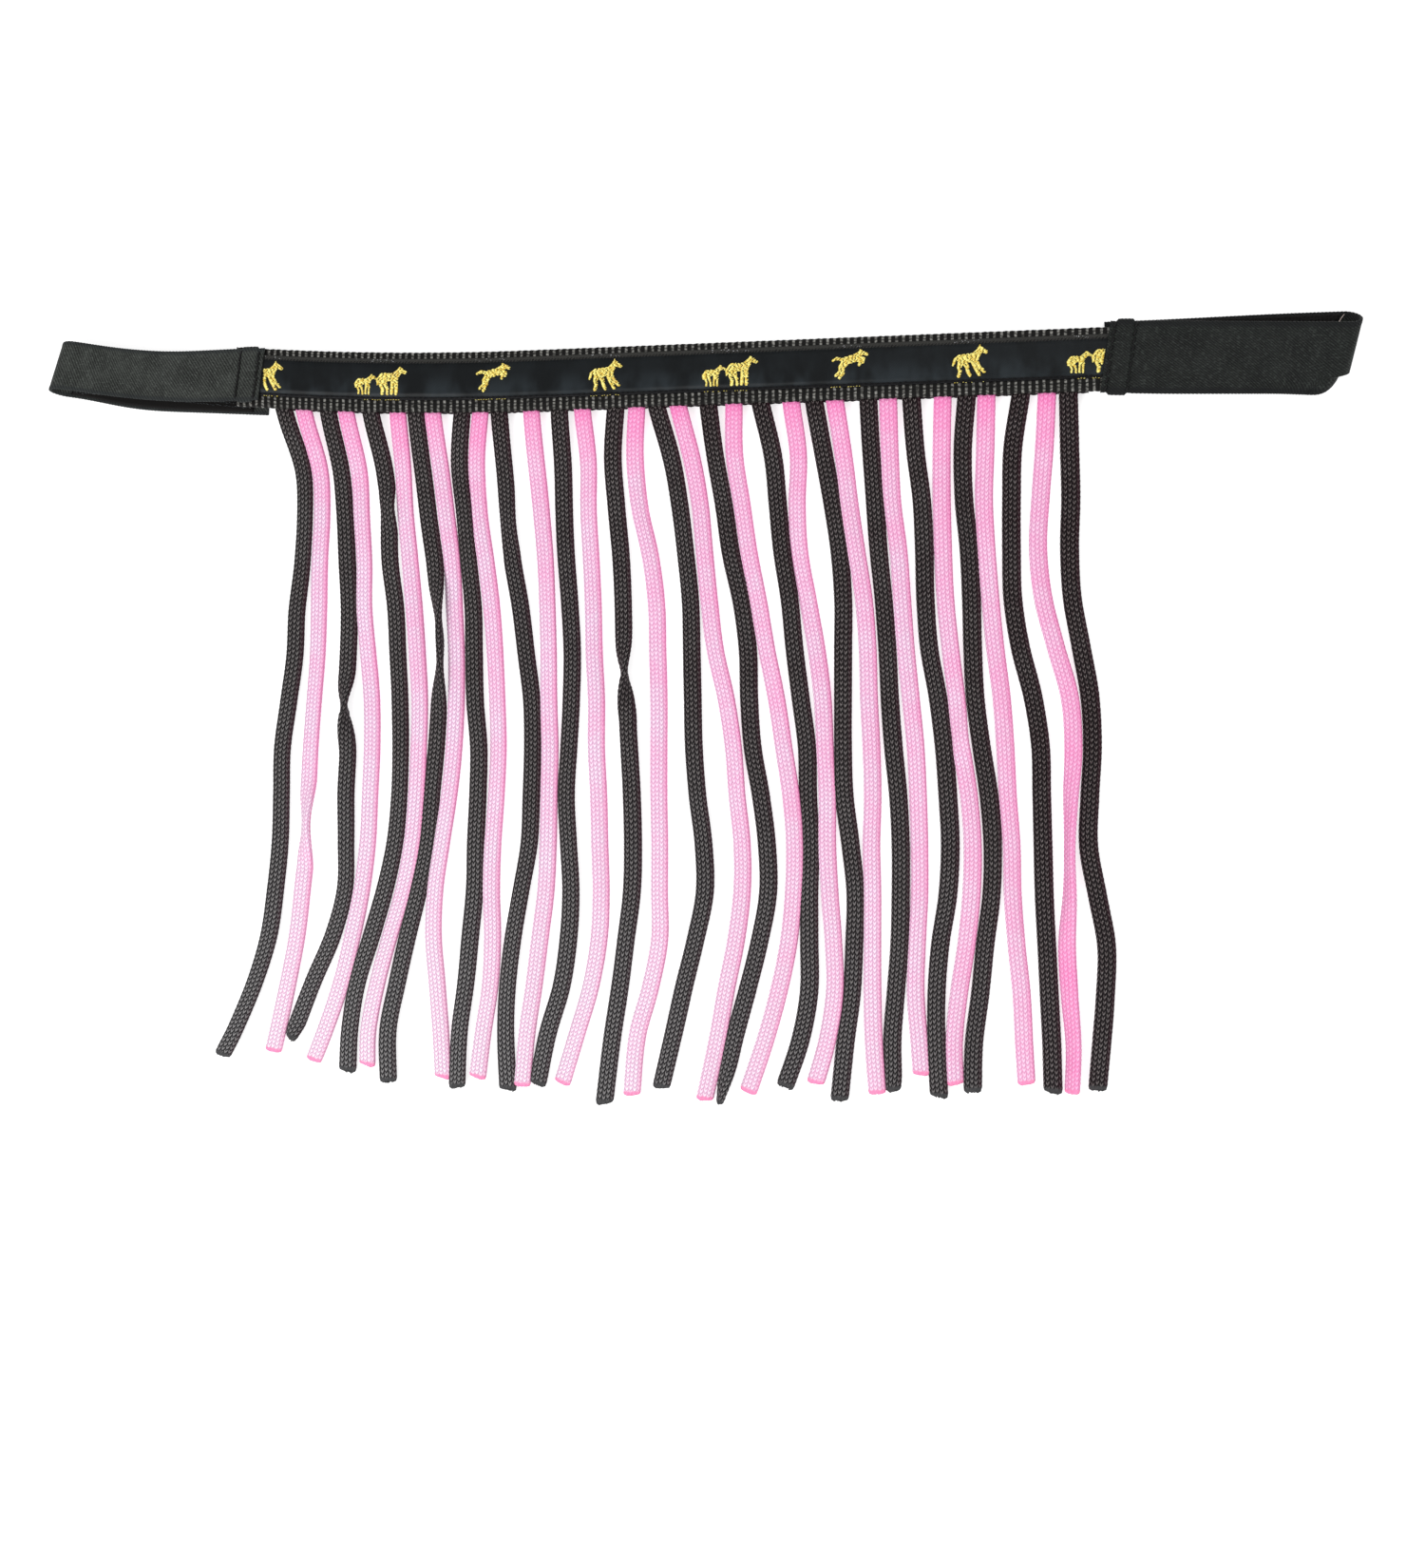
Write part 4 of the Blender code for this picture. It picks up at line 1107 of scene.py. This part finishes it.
def twill_look(name, dark, light, low_blue, pitch, angle, flecks=0.45):
    """Black polyester strap: fine diagonal ridges, patchy tone, and a selvedge along each edge."""
    look = Look(name, roughness=0.8, specular=0.2, sheen=0.04)
    u, v = look.places()
    jitter = look.noise(700, detail=2)
    slanted = look.plus(look.times(u, math.sin(angle)), look.times(v, math.cos(angle)))
    ridge = look.wave(look.plus(slanted, look.times(jitter, pitch * 0.35)), pitch)
    yarn = look.wave(v, 0.42 * MM)
    patches = look.noise(110)
    fibres = look.noise(3000, detail=2)
    amount = look.plus(look.ramp(ridge, -0.7, 0.9, 0.0, 0.55), look.ramp(patches, 0.3, 0.7, 0.0, 0.3))
    amount = look.plus(amount, look.ramp(fibres, 0.35, 0.7, -0.12, 0.25), clamp=True)
    body = look.mix(amount, dark, light)
    edge = look.number("selvedge")
    body = look.mix(look.times(edge, 0.5), body, low_blue)
    specks = look.ramp(look.noise(1500, (1, 0.4, 1), 1), 0.52, 0.66, 0.0, flecks)
    specks = look.times(specks, look.math("SUBTRACT", 1.0, edge))
    specks = look.times(specks, look.ramp(amount, 0.0, 0.7, 0.3, 1.0))
    look.colour(look.mix(specks, body, lighter(light, 1.8)))
    height = look.plus(ridge, look.times(yarn, 0.25))
    look.bump(look.plus(height, look.times(fibres, 0.8)), 0.00009, 0.75)
    return look.material


def strap_relief(side_name, U, W, B, P, at):
    """How far the hem, its seams and the selvedges push each point out; the hem's share; the selvedges'."""
    front = (P < 0.02) & (B > -0.1 * MM)
    hem = smooth((U - HEM_START) / (1.4 * MM)) * smooth((HEM_END - U) / (1.4 * MM)) * (P < 0.02)
    groove = np.exp(-(((U - HEM_START) / (0.6 * MM)) ** 2)) + np.exp(-(((U - HEM_END) / (0.6 * MM)) ** 2))
    puffs = 0.06 * MM * np.cos(2 * math.pi * W / (2.9 * MM)) * hem
    relief = np.where(front, HEM_RISE * hem - SEAM_DEPTH * groove + puffs, 0)
    selvedge = (1.9 if side_name == "left" else 2.6) * MM
    edge = smooth((np.abs(W) - STRAP_WIDTHS[side_name] / 2 + selvedge) / (0.8 * MM))
    return relief + 0.08 * MM * edge * (1 + np.cos(2 * math.pi * at / (1.5 * MM))), hem, edge


def strap_across(side_name, U, W, P, at, hem):
    """Where each point lies across the strap, which is uneven in width and bowed."""
    across = W * (1 + 0.012 * np.sin(at / (17 * MM)) + 0.02 * hem) + strap_bow(side_name, U, P)
    if side_name == "left":
        upper = np.clip(-W / (STRAP_WIDTHS[side_name] / 2), 0, 1) * (P < 0.02)
        across = across - HEM_WIDENING * upper * (1 - smooth((U - 9 * MM) / (40 * MM)))
    return across


def strap_along(side_name, U, W, P):
    """How far each point moves along the strap, because neither its fold nor its two ends are square."""
    sewn = np.where(P < 0.5, STRAP_SKEW[side_name] * W * (1 - smooth(U / (30 * MM))), 0)
    free = np.where(P > 0.5, -0.07 * W * (1 - smooth((U - 1 * MM) / (20 * MM))), 0)
    return fold_shear(side_name, U, W) + sewn + free


def strap_up(side_name, U, W, P, at):
    """How far the strap's waves raise each point, and the right fold's curled lower corner sinks it."""
    wave = 0.22 * MM * np.sin(at / (14 * MM) + W / (9 * MM)) * smooth((U - 14 * MM) / (20 * MM))
    wave = wave * (P <= 0.5) * (1 - smooth((U - 80 * MM) / (10 * MM)))
    if side_name == "right":
        curl = smooth((U - 70 * MM) / (24 * MM)) * np.clip((-W - 6 * MM) / (6.5 * MM), 0, 1) ** 2
        wave = wave - 1.6 * MM * curl * (1 - P)
    return wave


def make_strap(side_name, loop, look):
    """One strap: its sewn hem on the band, the front layer, the fold, and the flap behind."""
    u, z, part, at = (line[:, None] for line in strap_side_path(FLAP_END[side_name]))
    sa, sb, na, nb, around = flat_section(STRAP_WIDTHS[side_name], STRAP_THICK - 0.3 * MM, 96, 8)
    du, dz = np.gradient(u, axis=0), np.gradient(z, axis=0)
    size = np.hypot(du, dz)
    U, W, B, P = np.broadcast_arrays(u, sa, sb, part)
    relief, hem, edge = strap_relief(side_name, U, W, B, P, at)
    out = B + nb * relief
    along = U - dz / size * out + strap_along(side_name, U, W, P)
    across = strap_across(side_name, U, W, P, at, hem) + na * relief
    up = z + du / size * out + strap_up(side_name, U, W, P, at)
    points = strap_place(loop, along, across, up, P)
    points[..., 2] = np.maximum(points[..., 2], FLOOR_GAP)
    strap = tube_mesh(f"{side_name}_strap_woven", points, look)
    give_uv(strap, around, at)
    give(strap, "selvedge", edge)
    x, y, _ = strap_place(loop, HINGE_REACH, 0.0, 0.0, 0.0).tolist()
    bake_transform(strap)
    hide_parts(f"{side_name}_strap", f"{side_name}_flap")


def strap_stitches(side_name, loop, look):
    """The two rows of thick slanted stitches through the hem."""
    paths = []
    low = STRAP_LIE + STRAP_THICK / 2 + 0.12 * MM
    half = STRAP_WIDTHS[side_name] / 2 - 1.6 * MM
    t = np.linspace(0, 1, 7)
    for u, slant in ((HEM_START, 0.55 * MM), (HEM_END, 0.4125 * MM)):
        for w in np.arange(-half, half + 0.1 * MM, 2 * half / 8):
            us = u + RANDOM.normal(0, 0.12 * MM) + slant * (2 * t - 1) + STRAP_SKEW[side_name] * w
            zs = low + 0.28 * MM * (4 * t * (1 - t)) - 0.16 * MM
            paths.append(strap_place(loop, us, w + 1.05 * MM * (2 * t - 1), zs, 0.0))
    made = many_tubes(f"{side_name}_strap_stitches", paths, 0.48 * MM, 8, look)
    hand_over(made, "band", "black_thread", f"{side_name}_strap_stitching")


def inner_face():
    """The front layer's inner face in side view: heights (z) at places (u) in order."""
    u, z, part, _ = strap_side_path(1 * MM)
    front = part < 0.01
    order = np.argsort(u[front])
    return u[front][order], z[front][order] - STRAP_THICK / 2 - 0.1 * MM


def hook_paths(side_name, loop, half, random):
    """Small bent hooks standing in rows on the flap's tape."""
    paths, t = [], np.linspace(0, 1, 6)
    start, end = HOOK_SPAN
    for u in np.arange(start + 1 * MM, end - 1 * MM, 1.5 * MM):
        for w in np.arange(-half + 0.9 * MM, half - 0.5 * MM, 1.3 * MM):
            u0, w0 = u + random.normal(0, 0.15 * MM), w + random.normal(0, 0.12 * MM)
            tall, lean = random.uniform(0.9, 1.3) * MM, random.uniform(0.5, 0.9) * MM
            us = u0 + lean * np.sin(t * 2.6) + fold_shear(side_name, u0, w0)
            zs = FLAP_FACE + 0.5 * MM + tall * np.sin(t * 2.2)
            paths.append(strap_place(loop, us, w0, zs, 1.0))
    return paths


def pile_paths(side_name, loop, half, random):
    """Small loops hanging at random places from the front layer's tape."""
    paths, t = [], np.linspace(0, 1, 6)
    start, end = LOOP_SPAN
    face = inner_face()
    for _ in range(PILE_COUNT):
        u0, w0 = random.uniform(start + 1 * MM, end - 1 * MM), random.uniform(-half + 1 * MM, half - 1 * MM)
        turn, wide = random.uniform(0, math.pi), random.uniform(0.6, 1.3) * MM
        tall = random.uniform(0.4, 0.9) * MM
        us = u0 + fold_shear(side_name, u0, w0) + wide * math.cos(turn) * (t - 0.5)
        ws = w0 + strap_bow(side_name, u0, 0.0) + wide * math.sin(turn) * (t - 0.5)
        zs = np.interp(u0, *face) - 0.5 * MM - tall * np.sin(math.pi * t)
        paths.append(strap_place(loop, us, ws, zs, 0.0))
    return paths


def tape_patch(side_name, loop, kind, look, base_look):
    """The hook tape on the flap's inner face, or the loop tape on the front layer's: a base and its pile."""
    hook = kind == "hook"
    part, body, span = (1.0, f"{side_name}_flap", HOOK_SPAN) if hook else (0.0, "band", LOOP_SPAN)
    half = STRAP_WIDTHS[side_name] / 2 - (0.9 if hook else 1.6) * MM
    sa, sb = flat_section(2 * half, 0.5 * MM, 64, 8)[:2]
    U, W = np.broadcast_arrays(np.arange(*span, 1 * MM)[:, None], sa)
    face = FLAP_FACE + 0.3 * MM if hook else np.interp(U, *inner_face()) - 0.3 * MM
    U, W = U + fold_shear(side_name, U, W), W + strap_bow(side_name, U, part)
    points = strap_place(loop, U, W, face + sb, part)
    base = tube_mesh(f"{side_name}_{kind}_tape_base", points, base_look)
    place_uv(base)
    make_paths, radius, seed = (hook_paths, 0.13 * MM, 7) if hook else (pile_paths, 0.09 * MM, 8)
    paths = make_paths(side_name, loop, half, np.random.default_rng(seed))
    pile = many_tubes(f"{side_name}_{kind}_pile", paths, radius, 5, look)
    hand_over(base, body, f"black_{kind}_tape", f"{side_name}_{kind}_tape")
    hand_over(pile, body, f"black_{kind}_tape")


def loose_thread(look):
    """A short pale thread end caught inside the right strap's fold."""
    t = np.linspace(0, 1, 14)
    x = 263.9 + 4.5 * t + 0.25 * np.sin(5 * t)
    y = 9.6 + 5.2 * t
    z = 2.7 + 1.2 * np.sin(math.pi * t)
    path = np.stack([BAND_X + x * MM, BAND_Y + y * MM, z * MM], 1)
    hand_over(many_tubes("loose_thread", [path], 0.17 * MM, 7, look), "right_flap", "black_thread")


def make_straps():
    left = twill_look("left_twill", (0.006, 0.007, 0.006), (0.056, 0.062, 0.056), (0.014, 0.017, 0.020),
                      1.05 * MM, math.radians(-38))
    right = twill_look("right_twill", (0.0025, 0.003, 0.0028), (0.021, 0.0245, 0.022), (0.007, 0.0075, 0.009),
                       0.85 * MM, math.radians(-55), flecks=0.8)
    thread = thread_look("strap_thread_look", (0.0035, 0.0035, 0.0035), (0.010, 0.010, 0.0105), 0.55)
    # The left hook tape's lighter colour is painted glints on the hooks.
    hooks = {"left": thread_look("hook_look", (0.003, 0.004, 0.005), (0.15, 0.163, 0.172), 0.25),
             "right": thread_look("dark_hook_look", (0.0016, 0.0012, 0.0012), (0.005, 0.004, 0.0035), 0.7)}
    pile = thread_look("loop_pile_look", (0.006, 0.005, 0.005), (0.016, 0.014, 0.014), 0.9)
    pale = thread_look("pale_thread_look", (0.38, 0.30, 0.28), (0.62, 0.52, 0.48), 0.6)
    for side_name, look in (("left", left), ("right", right)):
        loop = LOOPS[side_name]
        make_strap(side_name, loop, look)
        strap_stitches(side_name, loop, thread)
        tape_patch(side_name, loop, "hook", hooks[side_name], hooks["right"])
        tape_patch(side_name, loop, "loop", pile, pile)
    loose_thread(pale)


make_camera()
make_cords()
make_webbing()
make_ribbon()
make_motifs()
make_straps()
make_studio()
